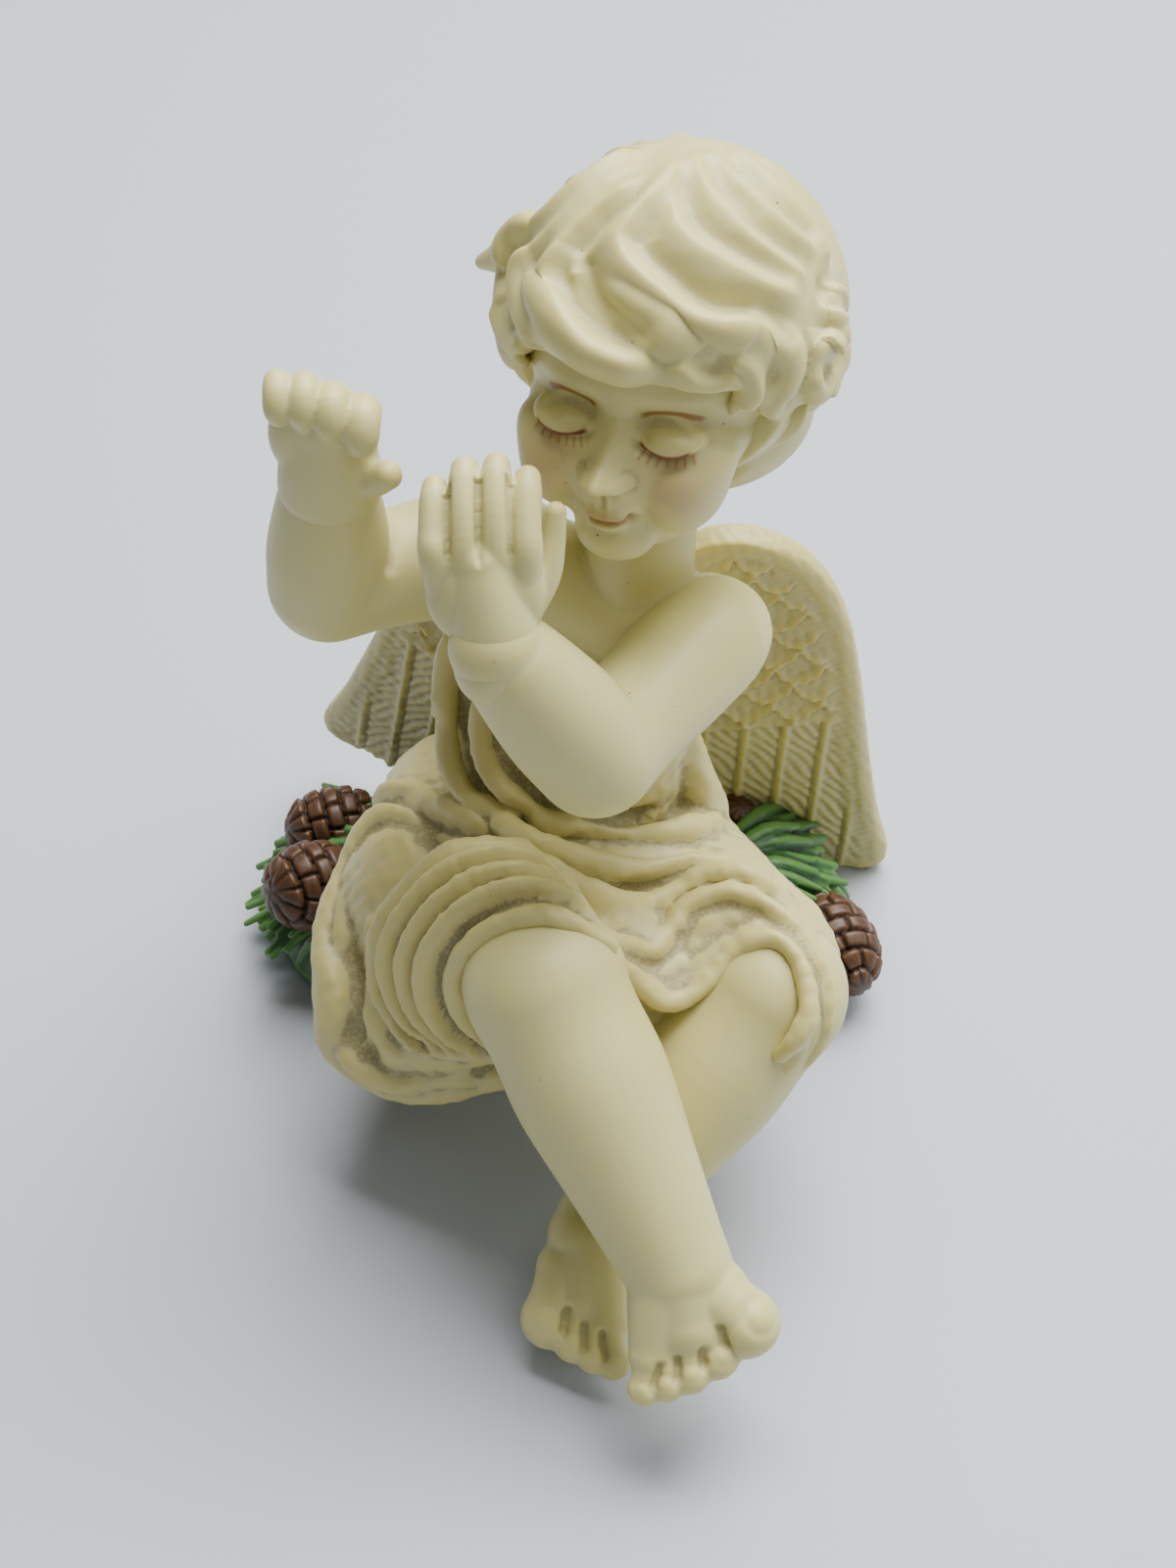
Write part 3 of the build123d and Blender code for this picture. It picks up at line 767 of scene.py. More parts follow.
class Head:
    """A sleeping doll's head: round brow, full cheeks, button nose and closed lids."""

    def __init__(self, sizes: HeadSizes) -> None:
        """Takes the head's sizes and finds its own frame."""
        self.sizes = sizes
        self.clay = Clay("head", 0.19)
        self.frame = Matrix.Translation(Vector(Skeleton().head)) @ face_turn(sizes).to_matrix().to_4x4()

    def lump(self, centre: Point, radii: Point | float) -> None:
        """Adds an egg of clay in the head's own frame."""
        self.clay.ball(self.frame @ Vector(centre), radii, face_turn(self.sizes))

    def swell(self, points: np.ndarray, centre: Point, radii: Point, height: float) -> np.ndarray:
        """How much a soft swelling, on both sides when it is off the middle, lifts each point."""
        amount = np.zeros(len(points))
        for side in (1, -1) if centre[0] else (1,):
            across, up = points[:, 0] - side * centre[0], points[:, 2] - centre[1]
            amount += height * bell(across, radii[0]) * bell(up, radii[1])
        return amount

    def crease(self, points: np.ndarray, centre: Point, reach: float, width: float, height: float,
               half_angle: float, below: bool) -> np.ndarray:
        """How much a ridge along an arc on both sides of the face lifts each point."""
        across = np.abs(points[:, 0]) - centre[0]
        up = (points[:, 2] - centre[1]) * (-1 if below else 1)
        angle = np.degrees(np.arctan2(across, up))
        off = np.hypot(across, up) - reach
        ends = rising(half_angle - np.abs(angle), 4)
        return height * bell(off, width) * ends

    def build(self) -> None:
        """Models the head."""
        half = self.sizes.width / 2
        self.lump((0, 1.5, 3.2), (half - 0.1, 12.3, 11.8))
        self.lump((0, -3.4, -4.9), (half * 0.86, 8.2, 7.3))
        self.lump((0, -7.6, -10.0), (4.3, 3.2, 2.6))
        self.lump((0, -2.5, -8.0), (7.4, 7.0, 5.2))
        for side in (1, -1):
            self.lump((side * 5.9, -6.9, -5.7), (4.3, 4.2, 4.1))
            self.lump((side * 4.3, -9.1, -1.7), (2.7, 1.7, 1.9))
            self.lump((side * half * 0.97, 0.5, -2.9), (1.6, 2.4, 3.2))
        self.clay.fuse(10)
        self.jaw()
        spread = self.own(self.clay.points())
        front = rising(-spread[:, 1] - 5.0, 0.6)
        soft = self.swell(spread, (4.0, -0.25), (2.3, 0.65), -0.5)
        soft += self.swell(spread, (2.2, -1.3), (0.9, 1.5), -0.45)
        soft += self.swell(spread, (4.25, -1.75), (2.1, 0.95), 0.38)
        soft += self.swell(spread, (4.3, 1.4), (3.0, 1.0), 0.3)
        soft += self.swell(spread, (4.6, -3.4), (2.4, 0.7), -0.3)
        soft += self.swell(spread, (6.2, -6.4), (2.8, 2.6), 0.45)
        soft += self.swell(spread, (3.0, -8.6), (0.9, 1.6), -0.6)
        soft += self.swell(spread, (0, -7.9), (2.4, 1.5), 0.55)
        self.clay.push(soft * front)
        self.nose()
        spread = self.own(self.clay.points())
        front = rising(-spread[:, 1] - 5.0, 0.6)
        fine = self.crease(spread, EYE, EYE_REACH - 0.1, 0.25, 0.30, 36, True)
        fine += self.crease(spread, EYE, EYE_REACH + 0.32, 0.25, -0.36, 38, True)
        fine += self.crease(spread, (4.15, -4.0), 3.6, 0.32, -0.26, 36, False)
        fine += self.swell(spread, (0.42, -7.15), (0.24, 0.8), 0.20)
        fine += self.swell(spread, (0, -7.1), (0.3, 0.8), -0.3)
        upper = -8.35 - 0.13 * np.abs(spread[:, 0]) ** 1.5 - 0.14 * bell(spread[:, 0], 0.4)
        middle = -8.9 + 0.02 * spread[:, 0] ** 2 - 0.12 * bell(spread[:, 0], 0.5)
        lower = -9.6 + 0.10 * spread[:, 0] ** 2
        for line, width, height, reach in (
            (upper, 0.38, 0.62, 1.7), (middle, 0.18, -0.95, 1.85), (lower, 0.48, 0.72, 1.35),
            (lower - 1.05, 0.6, -0.28, 1.4),
        ):
            ends = np.exp(-((np.abs(spread[:, 0]) / reach) ** 4))
            fine += height * ends * bell(spread[:, 2] - line, width)
        fine += self.swell(spread, (2.0, -8.8), (0.4, 0.45), -0.55)
        self.clay.push(fine * front)
        self.ears()

    def jaw(self) -> None:
        """Narrows the face from the eyes down and lets the chin drop."""
        spread = self.own(self.clay.points())
        low = np.clip((-1.5 - spread[:, 2]) / 5.0, 0, 1)
        spread[:, 0] *= 1 - 0.19 * low * low * (3 - 2 * low)
        chin = np.clip((-6.5 - spread[:, 2]) / 5.5, 0, 1)
        spread[:, 2] -= 1.3 * chin * chin * (3 - 2 * chin)
        self.clay.place(moved(spread, self.frame))

    def nose(self) -> None:
        """Lifts the nose: a low bridge, a round tip and two wings with nostrils under them."""
        points = self.own(self.clay.points())
        lift = np.zeros(len(points))
        front = points[:, 1] < -5.5
        bridge = np.interp(points[:, 2], (-6.5, -5.9, -5.1, -3.7, -1.7, 0.8), (0.0, 0.8, 1.9, 1.5, 0.75, 0.1))
        lift += bridge * bell(points[:, 0], 1.15)
        aside, up = np.abs(points[:, 0]), points[:, 2]
        lift += 1.5 * bell(aside, 1.35) * bell(up + 5.0, 1.15)
        lift += 1.3 * bell(aside - 1.4, 0.62) * bell(up + 5.3, 0.75)
        lift *= front
        forward = np.array(self.frame.to_3x3() @ Vector((0, -1, 0)))
        self.clay.place(self.clay.points() + forward * lift[:, None])
        self.clay.place(self.clay.relaxed(4))
        points = self.own(self.clay.points())
        aside, up = np.abs(points[:, 0]), points[:, 2]
        off = np.hypot((aside - 1.55) / 0.95, (up + 5.1) / 0.95) - 1.05
        ring = bell(off, 0.22)
        inner = aside < 1.4
        above = up > -5.5
        self.clay.push(np.where(front & ~inner, -0.22 * ring, 0) * np.where(above, 0.6, 1.0))
        hole = bell(aside - 0.75, 0.42) * bell(up + 6.15, 0.32)
        self.clay.push(-0.5 * hole * front)

    def ears(self) -> None:
        """Hollows the shell of each ear."""
        points = self.own(self.clay.points())
        rim = np.hypot((points[:, 1] - 0.6) / 1.5, (points[:, 2] + 2.9) / 2.2)
        outside = rising(np.abs(points[:, 0]) - self.sizes.width * 0.47, 0.15)
        shell = 0.3 * bell(rim - 1.15, 0.25) - 0.8 * bell(rim, 0.75)
        self.clay.push(outside * shell)

    def own(self, points: np.ndarray) -> np.ndarray:
        """Points in the head's own frame."""
        return moved(points, self.frame.inverted())

    def dress(self) -> None:
        """Paints and places the head."""
        self.clay.finish(FACE, "ivory_resin", "head")


@dataclass(frozen=True)
class Lock:
    """A lock of hair, along points given as turns and lifts in degrees, seen from the middle of the head.

    A turn is from the face towards the figure's left, and a lift is up from the ears.
    """

    line: tuple[tuple[float, float], ...]
    height: float = 0.75
    width: float = 0.8
    groove: float = 0.5


CROWN = (-112.0, 79.0)

LOCKS = (
    Lock(((-103, 73), (-63, 64), (-54, 51), (-57, 36), (-70, 20), (-69, 8)), 0.8),
    Lock(((-79, 80), (-47, 63), (-45, 48), (-47, 35), (-52, 21), (-46, 12), (-34, 7), (-22, 5)), 0.8),
    Lock(
        ((-38, 80), (-29, 62), (-33, 49), (-34, 37), (-33, 28), (-28, 21), (-20, 16), (-7, 11), (8, 8),
         (18, 8)),
        1.0, 0.9, 0.8,
    ),
    Lock(((-26, 39), (-24, 31), (-16, 24), (-6, 18), (4, 15), (18, 13)), 0.5, 0.6, 0.6),
    Lock(
        ((-14, 78), (-7, 64), (-8, 52), (-7, 45), (1, 39), (14, 33), (27, 26), (38, 22), (50, 20),
         (58, 14), (65, 6)),
        0.9,
    ),
    Lock(((-36, 84), (3, 70), (15, 58), (27, 49), (43, 41), (57, 33), (76, 22)), 0.8),
    Lock(((-132, 88), (36, 71), (50, 59), (56, 49), (69, 38), (80, 28)), 0.8),
    Lock(((171, 83), (75, 74), (77, 58), (82, 47), (90, 34)), 0.8),
    Lock(((147, 80), (115, 68), (103, 54), (101, 41), (98, 26)), 0.8),
    Lock(((24, 12), (30, 5), (38, 2), (46, 8)), 0.5, 0.6, 0.4),
    Lock(((42, 14), (49, 8), (53, -2), (52, -12)), 0.5, 0.6, 0.4),
    Lock(((80, 20), (92, 13), (86, 5), (70, 8)), 0.6, 0.6, 0.5),
    Lock(((88, 6), (106, -3), (104, -10), (90, -15), (76, -8)), 0.6, 0.6, 0.5),
    Lock(((-64, 1), (-55, -4), (-44, -5), (-34, 1)), 0.5, 0.5, 0.4),
)


@dataclass(frozen=True)
class Tress:
    """A roll of hair: its turns and lifts, its radius at each and how far out from the cap it lies."""

    knots: tuple[tuple[float, float], ...]
    radii: tuple[float, ...]
    out: float = -0.6


TRESSES = (
    Tress(
        ((-60, 26), (-44, 18), (-30, 14), (-16, 11.5), (-2, 9), (12, 7), (22, 9)),
        (1.0, 1.7, 2.1, 2.2, 2.1, 1.6, 0.8), -0.9,
    ),
    Tress(
        ((-12, 32), (2, 26), (17, 19), (30, 13), (41, 11), (47, 15)),
        (1.0, 1.7, 2.0, 1.7, 1.2, 0.6), -1.1,
    ),
    Tress(((20, 14), (28, 8), (36, 6), (43, 9)), (1.4, 1.5, 1.3, 0.6), -1.2),
    Tress(
        ((16, 34), (32, 24), (45, 17), (52, 8), (52, -3), (48, -12)),
        (0.9, 1.6, 2.0, 1.8, 1.3, 0.5), -1.1,
    ),
    Tress(((52, 26), (64, 13), (66, 2), (62, -8), (68, -17)), (1.0, 1.7, 1.8, 1.5, 0.7), -0.8),
    Tress(((-74, 20), (-72, 8), (-60, 0), (-46, -3), (-34, 2)), (1.7, 1.8, 1.6, 1.2, 0.6)),
    Tress(((-86, 14), (-80, -3), (-68, -12), (-54, -15), (-42, -10)), (1.8, 2.0, 1.7, 1.3, 0.6)),
    Tress(((-96, 6), (-92, -12), (-84, -24), (-72, -28)), (2.0, 2.1, 1.8, 0.9), -0.7),
)
NECK_TRESS = Tress(((92, -28), (84, -38), (74, -42), (66, -38)), (1.5, 1.5, 1.1, 0.5), -1.6)


class Hair:
    """A cap of swirling locks that end in curls round the face and at the nape."""

    def __init__(self, sizes: HeadSizes) -> None:
        """Takes the head's sizes."""
        self.sizes = sizes
        self.clay = Clay("hair", 0.21)
        self.frame = Matrix.Translation(Vector(Skeleton().head)) @ head_turn(sizes).to_matrix().to_4x4()

    def at(self, turn: float, lift: float, out: float = 0.0) -> np.ndarray:
        """A place on the hair.

        Args:
            turn: Degrees from the face towards the figure's left.
            lift: Degrees up from the ears.
            out: How far out from the cap, in millimetres.

        Returns:
            The place in millimetres.
        """
        a, e = math.radians(turn), math.radians(lift)
        way = np.array((math.sin(a) * math.cos(e), -math.cos(a) * math.cos(e), math.sin(e)))
        own = np.array(self.sizes.hair_centre) + way * (np.array(self.sizes.hair_radii) + out)
        return np.array(self.frame @ Vector(own))

    def tress(self, tress: Tress) -> None:
        """Lays a roll of hair over the cap."""
        self.clay.roll([self.at(turn, lift, tress.out) for turn, lift in tress.knots], tress.radii)

    def curl(self, turn: float, lift: float, reach: float, thick: float, spin: int, out: float = 0.2) -> None:
        """A small coil of hair that lies on the head.

        Args:
            turn: Degrees from the face towards the figure's left.
            lift: Degrees up from the ears.
            reach: The coil's radius, in millimetres.
            thick: The roll's radius, in millimetres.
            spin: 1 or -1, the way it turns inward.
            out: How far out from the cap it lies.
        """
        middle = self.at(turn, lift, out)
        beside = self.at(turn + 3, lift, out) - middle
        over = self.at(turn, lift + 3, out) - middle
        beside /= np.linalg.norm(beside)
        over /= np.linalg.norm(over)
        knots, radii = [], []
        for step in range(10):
            angle = math.radians(90 + spin * step * 46)
            far = reach * (1 - step / 11.5)
            knots.append(middle + beside * math.cos(angle) * far + over * math.sin(angle) * far)
            radii.append(thick * (1 - step / 24))
        self.clay.roll(knots, radii)

    def build(self) -> None:
        """Models the hair."""
        turn = head_turn(self.sizes)
        self.clay.ball(self.frame @ Vector(self.sizes.hair_centre), self.sizes.hair_radii, turn)
        self.clay.pare((0, -53, -46.5), (120, 100, 100), self.frame)
        self.clay.ball(self.frame @ Vector((0, 5.0, -4.5)), (11.3, 9.5, 8.2), turn)
        self.clay.pare((0, -50.5, -46.5), (120, 100, 100), self.frame)
        for tress in TRESSES:
            self.tress(tress)
        self.clay.roll([self.at(-66, 25, -0.9), self.at(-76, 12, 0.5), self.at(-82, 4, 2.8)], (2.0, 1.6, 0.7))
        self.curl(84, -3, 2.2, 1.15, 1)
        self.curl(92, 12, 2.0, 1.1, -1)
        self.curl(101, -17, 2.3, 1.2, 1, -0.4)
        self.curl(88, -26, 2.0, 1.1, -1, -1.0)
        self.curl(116, -30, 2.2, 1.2, 1, -1.6)
        self.tress(NECK_TRESS)
        for turn_at in (128, 146, 164, 182, 200, 218, 236, 254):
            self.curl(turn_at, -27 + 4 * (turn_at % 4 == 0), 2.5, 1.3, 1 if turn_at % 36 else -1, -0.9)
        self.clay.fuse(7)
        self.locks()

    def locks(self) -> None:
        """Works the swirl of locks into the cap, round the back of the head too."""
        folds = []
        for lock in LOCKS:
            line = np.array([self.at(*knot) for knot in lock.line])
            folds.append(Fold(line, lock.height, lock.width, lock.groove, 1.6, 0.9, 0.13, 2.1))
        for number in range(8):
            start = 128 + number * 16.5
            line = [self.at(*CROWN)]
            for step, lift in enumerate((68, 50, 32, 14, -4, -16)):
                line.append(self.at(start + 10 - 7 * step + 3 * math.sin(number * 2 + step), lift))
            folds.append(Fold(np.array(line), 0.65, 0.85, 0.55, 1.6, 0.9, 0.25, 1.9))
            line = [self.at(start + 18 - 7 * step + 3 * math.sin(number + step), lift)
                    for step, lift in enumerate((46, 28, 10, -8))]
            folds.append(Fold(np.array(line), 0.45, 0.6, 0.35, 1.1, 0.6, 0.2))
        self.clay.work(folds)

    def dress(self) -> None:
        """Finishes and places the hair."""
        self.clay.finish(IVORY, "ivory_resin", "hair")


# Body

class Torso:
    """The bare trunk, seen at the chest and the throat."""

    def __init__(self) -> None:
        """Starts the trunk."""
        self.bones = Skeleton()
        self.clay = Clay("torso", 0.4)

    def build(self) -> None:
        """Models the trunk."""
        bones = self.bones
        self.clay.ball(bones.pelvis, (11, 9.4, 9), Euler((0, 0, math.radians(-15))))
        self.clay.roll((bones.pelvis, bones.belly, bones.chest), (9.0, 9.9, 8.6))
        joints = (bones.right_shoulder, bones.left_shoulder)
        self.clay.roll([bones.chest + (joint - bones.chest) * 0.86 for joint in joints], (5.2, 5.2))
        collar = bones.chest + (bones.neck - bones.chest) * 0.4
        self.clay.roll((collar, bones.neck, bones.throat), (5.0, 4.6, 4.5))
        self.clay.fuse(8)

    def dress(self) -> None:
        """Finishes and places the trunk."""
        self.clay.finish(IVORY, "ivory_resin", "torso")


class Arm:
    """A plump bent arm."""

    def __init__(self, side: Side) -> None:
        """Starts the arm of one side."""
        bones = Skeleton()
        self.side = side
        self.left = side is Side.LEFT
        self.joints = (
            (bones.left_shoulder, bones.left_elbow, bones.left_wrist)
            if self.left else (bones.right_shoulder, bones.right_elbow, bones.right_wrist)
        )
        self.clay = Clay(f"{side.name.lower()}_arm", 0.25)

    def build(self) -> None:
        """Models the arm, with a crease inside the elbow and one at the wrist."""
        shoulder, elbow, wrist = self.joints
        upper = elbow - shoulder
        fore = wrist - elbow
        inward = Skeleton().chest - shoulder
        self.clay.roll(
            (shoulder + inward * 0.25, shoulder, shoulder + upper * 0.35, shoulder + upper * 0.72, elbow),
            (4.6, 5.1, 5.2, 4.9, 5.1), 4,
        )
        self.clay.roll((elbow, elbow + fore * 0.35, elbow + fore * 0.7, wrist), (5.1, 5.1, 4.5, 3.75), 4)
        crook = fore / np.linalg.norm(fore) - upper / np.linalg.norm(upper)
        self.clay.ball(elbow + crook * 1.6, 4.8)
        self.clay.fuse(14)
        around = wrist - fore * 0.04
        self.ring(around, fore, 0.12, 0.5)
        inner = elbow + crook * 3.6
        across = np.cross(upper, fore)
        across = across / np.linalg.norm(across)
        line = np.array([inner + across * far for far in (-4.5, -1.5, 1.5, 4.5)])
        self.clay.work([Fold(line, -0.5, 0.6)])

    def ring(self, middle: np.ndarray, axis: np.ndarray, depth: float, width: float) -> None:
        """Presses a shallow ring round the arm."""
        points = self.clay.points()
        along = (points - middle) @ (axis / np.linalg.norm(axis))
        near = np.linalg.norm(points - middle, axis=1) < 8
        self.clay.push(np.where(near, -depth * bell(along, width), 0.0))

    def dress(self) -> None:
        """Finishes and places the arm."""
        self.clay.finish(IVORY, "ivory_resin", "left_arm" if self.left else "right_arm")


@dataclass(frozen=True)
class Finger:
    """A finger in its hand's frame: its place, how high it reaches, its radius and how far back it is."""

    x: float
    top: float
    radius: float
    out: float = 0.0


LEFT_FINGERS = (
    Finger(-4.5, 12.2, 1.15), Finger(-2.2, 13.6, 1.25), Finger(0.2, 13.8, 1.25), Finger(2.5, 12.8, 1.2),
)
RIGHT_FINGERS = (
    Finger(-3.75, 10.4, 1.15, 0.3), Finger(-1.75, 10.2, 1.25, 0.2),
    Finger(0.4, 9.6, 1.4, -0.2), Finger(2.75, 8.7, 1.5, -0.6),
)


class Hand:
    """A hand in its own frame: up from the wrist to the fingers, with its thumb towards +X."""

    def __init__(self, side: Side) -> None:
        """Starts the hand of one side."""
        bones = Skeleton()
        self.side = side
        self.left = side is Side.LEFT
        wrist = bones.left_wrist if self.left else bones.right_wrist
        aim = Vector((-0.2, 4.5, 14) if self.left else (0.5, -1, 9)).normalized()
        across = aim.cross(Vector((1, 0, 0))).cross(aim).normalized()
        turn = Matrix((across, aim.cross(across), aim)).transposed().to_4x4()
        self.place = Matrix.Translation(Vector(wrist)) @ turn
        self.clay = Clay(f"{side.name.lower()}_hand", 0.14)

    def roll(self, knots: Sequence[Point], radii: Sequence[float]) -> None:
        """Adds a roll in the hand's own frame."""
        self.clay.roll([self.place @ Vector(knot) for knot in knots], radii, 4)

    def egg(self, centre: Point, radii: Point) -> None:
        """Adds an egg in the hand's own frame."""
        self.clay.ball(self.place @ Vector(centre), radii, self.place.to_euler())

    def build(self) -> None:
        """Models the hand: an open one against the cheek, or a loose fist."""
        if self.left:
            self.egg((-0.7, 0.5, 4.3), (4.6, 2.3, 4.6))
            self.egg((-0.8, 0.3, 6.2), (4.5, 1.7, 2.6))
            self.roll(
                ((0.1, 0, -1.5), (-0.1, 0, 1.6), (-0.6, 0.1, 4.6), (-0.9, 0.2, 6.8)), (3.45, 3.3, 2.8, 2.3)
            )
            for finger in LEFT_FINGERS:
                x, top, thick = finger.x, finger.top, finger.radius
                knots = (
                    (0.9 * x - 0.1, 0.2, 5.2), (0.98 * x, -0.2, 7.8), (x, 0.4, top - 3.0),
                    (x + 0.1, 1.7, top - 1.0), (x + 0.15, 2.6, top - 0.2),
                )
                self.roll(knots, (thick, thick * 1.12, thick, thick * 0.98, thick * 0.85))
            self.roll(
                ((1.8, 1.4, 2.6), (3.6, 2.2, 5.0), (4.4, 2.6, 7.6), (4.7, 2.8, 9.8)), (1.9, 1.5, 1.05, 0.85)
            )
        else:
            self.egg((-0.4, 0, 4.6), (4.35, 2.7, 5.0))
            self.roll(((0, 0, -0.5), (0, 0, 2.0), (0, -0.1, 6.0)), (4.2, 4.0, 3.2))
            for finger in RIGHT_FINGERS:
                x, top, thick, out = finger.x, finger.top, finger.radius, finger.out
                knots = (
                    (0.85 * x, out + 0.4, 6.0), (x, out, top - 0.9), (x, out - 1.3, top - 0.5),
                    (x, out - 2.2, top - 1.4), (x * 0.97, out - 2.0, top - 2.3),
                )
                self.roll(knots, (thick * 1.1, thick, thick, thick * 0.95, thick * 0.85))
            self.roll(((2.0, -1.0, 0.8), (3.7, -2.0, 2.0), (4.7, -2.6, 3.0)), (1.9, 1.5, 1.2))
        self.clay.fuse(8)
        if self.left:
            self.knuckles()

    def knuckles(self) -> None:
        """Parts the fingers and creases the wrist."""
        points = np.array([self.place.inverted() @ Vector(point) for point in self.clay.points()])
        amount = np.zeros(len(points))
        for x in (-3.35, -1.0, 1.35):
            above = np.clip((points[:, 2] - 7.2) / 0.8, 0, 1)
            amount -= 0.35 * bell(points[:, 0] - x, 0.26) * above
        amount -= 0.10 * bell(points[:, 2] - 0.6, 0.35)
        self.clay.push(amount * (points[:, 1] < 1.2))

    def dress(self) -> None:
        """Finishes and places the hand."""
        self.clay.finish(IVORY, "ivory_resin", "left_hand" if self.left else "right_hand")


@dataclass(frozen=True)
class Toe:
    """A toe: where its tip is, from the ankle, and its radius."""

    tip: tuple[float, float, float]
    radius: float


RIGHT_TOES = (
    Toe((5.5, -3.6, -2.7), 2.9), Toe((3.1, -5.7, -4.3), 2.0), Toe((0.9, -6.9, -5.0), 1.8),
    Toe((-1.0, -7.5, -5.6), 1.6), Toe((-2.8, -7.7, -6.2), 1.45),
)
LEFT_TOES = (
    Toe((-3.2, -7.2, -4.5), 2.6), Toe((-1.2, -9.3, -5.0), 1.75), Toe((0.6, -10.4, -5.3), 1.6),
    Toe((2.2, -11.0, -5.5), 1.5),
)


class Leg:
    """A plump bent leg with a bare foot."""

    def __init__(self, side: Side) -> None:
        """Starts the leg of one side."""
        bones = Skeleton()
        self.left = side is Side.LEFT
        self.joints = (
            (bones.left_hip, bones.left_knee, bones.left_ankle)
            if self.left else (bones.right_hip, bones.right_knee, bones.right_ankle)
        )
        self.toes = LEFT_TOES if self.left else RIGHT_TOES
        self.clay = Clay(f"{side.name.lower()}_leg", 0.22)

    def build(self) -> None:
        """Models the leg."""
        hip, knee, ankle = self.joints
        if self.left:
            knee = knee - np.array((1.1, 0, 0))
        girth = 0.96 if self.left else 1.0
        thigh = knee - hip
        self.clay.roll((hip, hip + thigh * 0.5, knee), (6.0, 6.3 * girth, 6.8 * girth), 4)
        self.clay.ball(knee + np.array((0, 0.4, 0)), 7.0 * girth)
        stations = (0, 0.14, 0.36, 0.68, 0.92, 1.0)
        radii = np.array((6.9, 6.6, 6.7, 5.6, 4.8, 4.6)) * girth
        if self.left:
            radii[3:] *= (0.97, 0.88, 0.84)
        heel = ankle + np.array((0.9 * self.left, 0, 0))
        self.clay.roll([knee + (heel - knee) * far for far in stations], radii, 4)
        first, last = np.array(self.toes[0].tip), np.array(self.toes[-1].tip)
        ball = ankle + (first + last) * 0.5 * 0.62
        foot_girth = 0.84 if self.left else 1.0
        self.clay.roll((heel, (ankle + ball) / 2, ball), np.array((4.5, 4.0, 3.4)) * foot_girth, 4)
        outside = [ankle + last * far for far in (0.12, 0.4, 0.72)]
        self.clay.roll(outside, np.array((4.0, 3.3, 2.2)) * girth, 4)
        for toe in self.toes:
            tip = ankle + np.array(toe.tip)
            root = ankle + np.array(toe.tip) * 0.5
            middle = (tip + root) / 2 + np.array((0, -0.1, 0.35))
            self.clay.roll((root, middle, tip), (toe.radius * 1.15, toe.radius * 0.98, toe.radius), 4)
            self.clay.ball(tip + np.array((0, 0, 0.1)), toe.radius * 1.04)
        self.clay.fuse(6)
        folds = []
        for one, other in zip(self.toes, self.toes[1:]):
            gap = ankle + (np.array(one.tip) + np.array(other.tip)) / 2
            root = ankle + (np.array(one.tip) + np.array(other.tip)) / 2 * 0.8
            top = np.array((0, -0.3, min(one.radius, other.radius) * 0.75))
            line = np.array((root + top * 1.3, (root + gap) / 2 + top, gap + top * 0.5, gap - top * 0.8))
            folds.append(Fold(line, -0.6, 0.36, 0.0, 0.0, 0.5))
        self.clay.work(folds)
        points = self.clay.points()
        amount = np.zeros(len(points))
        for toe in self.toes:
            tip = ankle + np.array(toe.tip)
            way = np.array(toe.tip) / np.linalg.norm(toe.tip)
            nail = tip + way * toe.radius * 0.45 + np.array((0, 0, toe.radius * 0.8))
            far = np.linalg.norm(points - nail, axis=1) / (toe.radius * 0.55)
            amount -= 0.05 * toe.radius * bell(far - 1, 0.22)
        self.clay.push(amount)

    def dress(self) -> None:
        """Finishes and places the leg."""
        self.clay.finish(IVORY, "ivory_resin", "left_leg" if self.left else "right_leg")


# Robe, laid out from the pelvis

KNEE_HEM = (
    (6.8, -31.1, 16.2), (1.9, -30.5, 19.3), (-3.4, -30.4, 17.2), (-6.1, -30.4, 12.2),
    (-5.4, -30.8, 6.6), (-2.0, -31.2, 1.8),
)
THIGH_FOLD = (
    (1.8, -23.5, 17.6), (-3.5, -22.5, 18.0), (-8.0, -22.7, 16.0), (-12.5, -24.2, 9.0),
    (-11.1, -26.5, 3.5), (-6.7, -29.5, 0.0),
)
HIP_FOLD = (
    (-2.9, -17.0, 12.8), (-5.4, -14.0, 11.5), (-9.1, -10.5, 9.8), (-13.1, -8.5, 7.0),
    (-15.5, -11.0, 4.0), (-17.0, -16.5, 2.0), (-17.1, -22.5, -0.5), (-16.3, -25.2, -4.0),
    (-11.5, -27.6, -5.3), (-5.0, -28.5, -3.5), (-1.0, -29.3, -1.5),
)
POCKET_EDGE = (
    (-13.6, -20.5, 6.7), (-13.1, -23.7, 3.5), (-13.5, -26.0, 1.1), (-12.3, -27.5, -0.9),
    (-8.9, -28.8, -0.8), (-4.0, -30.0, 0.5),
)
POCKET = (-14.2, -26.0, -1.8)
LAP_HEM = (
    (6.8, -31.1, 15.0), (8.5, -30.0, 11.4), (11.0, -30.0, 8.2), (13.0, -29.4, 7.5), (15.2, -28.0, 8.4),
    (17.2, -26.4, 9.6), (19.2, -26.0, 11.2), (21.2, -26.2, 11.6), (22.8, -28.0, 11.2),
    (23.6, -31.5, 9.2), (22.6, -33.4, 7.4), (21.0, -33.6, 5.0),
)
LAP_FOLD = (
    (6.4, -29.8, 16.0), (8.5, -27.4, 11.6), (10.4, -25.6, 9.6), (12.2, -23.6, 10.2),
    (14.4, -22.0, 11.3), (17.4, -21.6, 12.0), (20.4, -23.2, 11.9), (22.9, -25.4, 11.0),
    (24.4, -28.2, 9.4), (24.8, -30.6, 6.4), (23.6, -31.5, 3.1), (22.0, -32.0, 1.0),
)
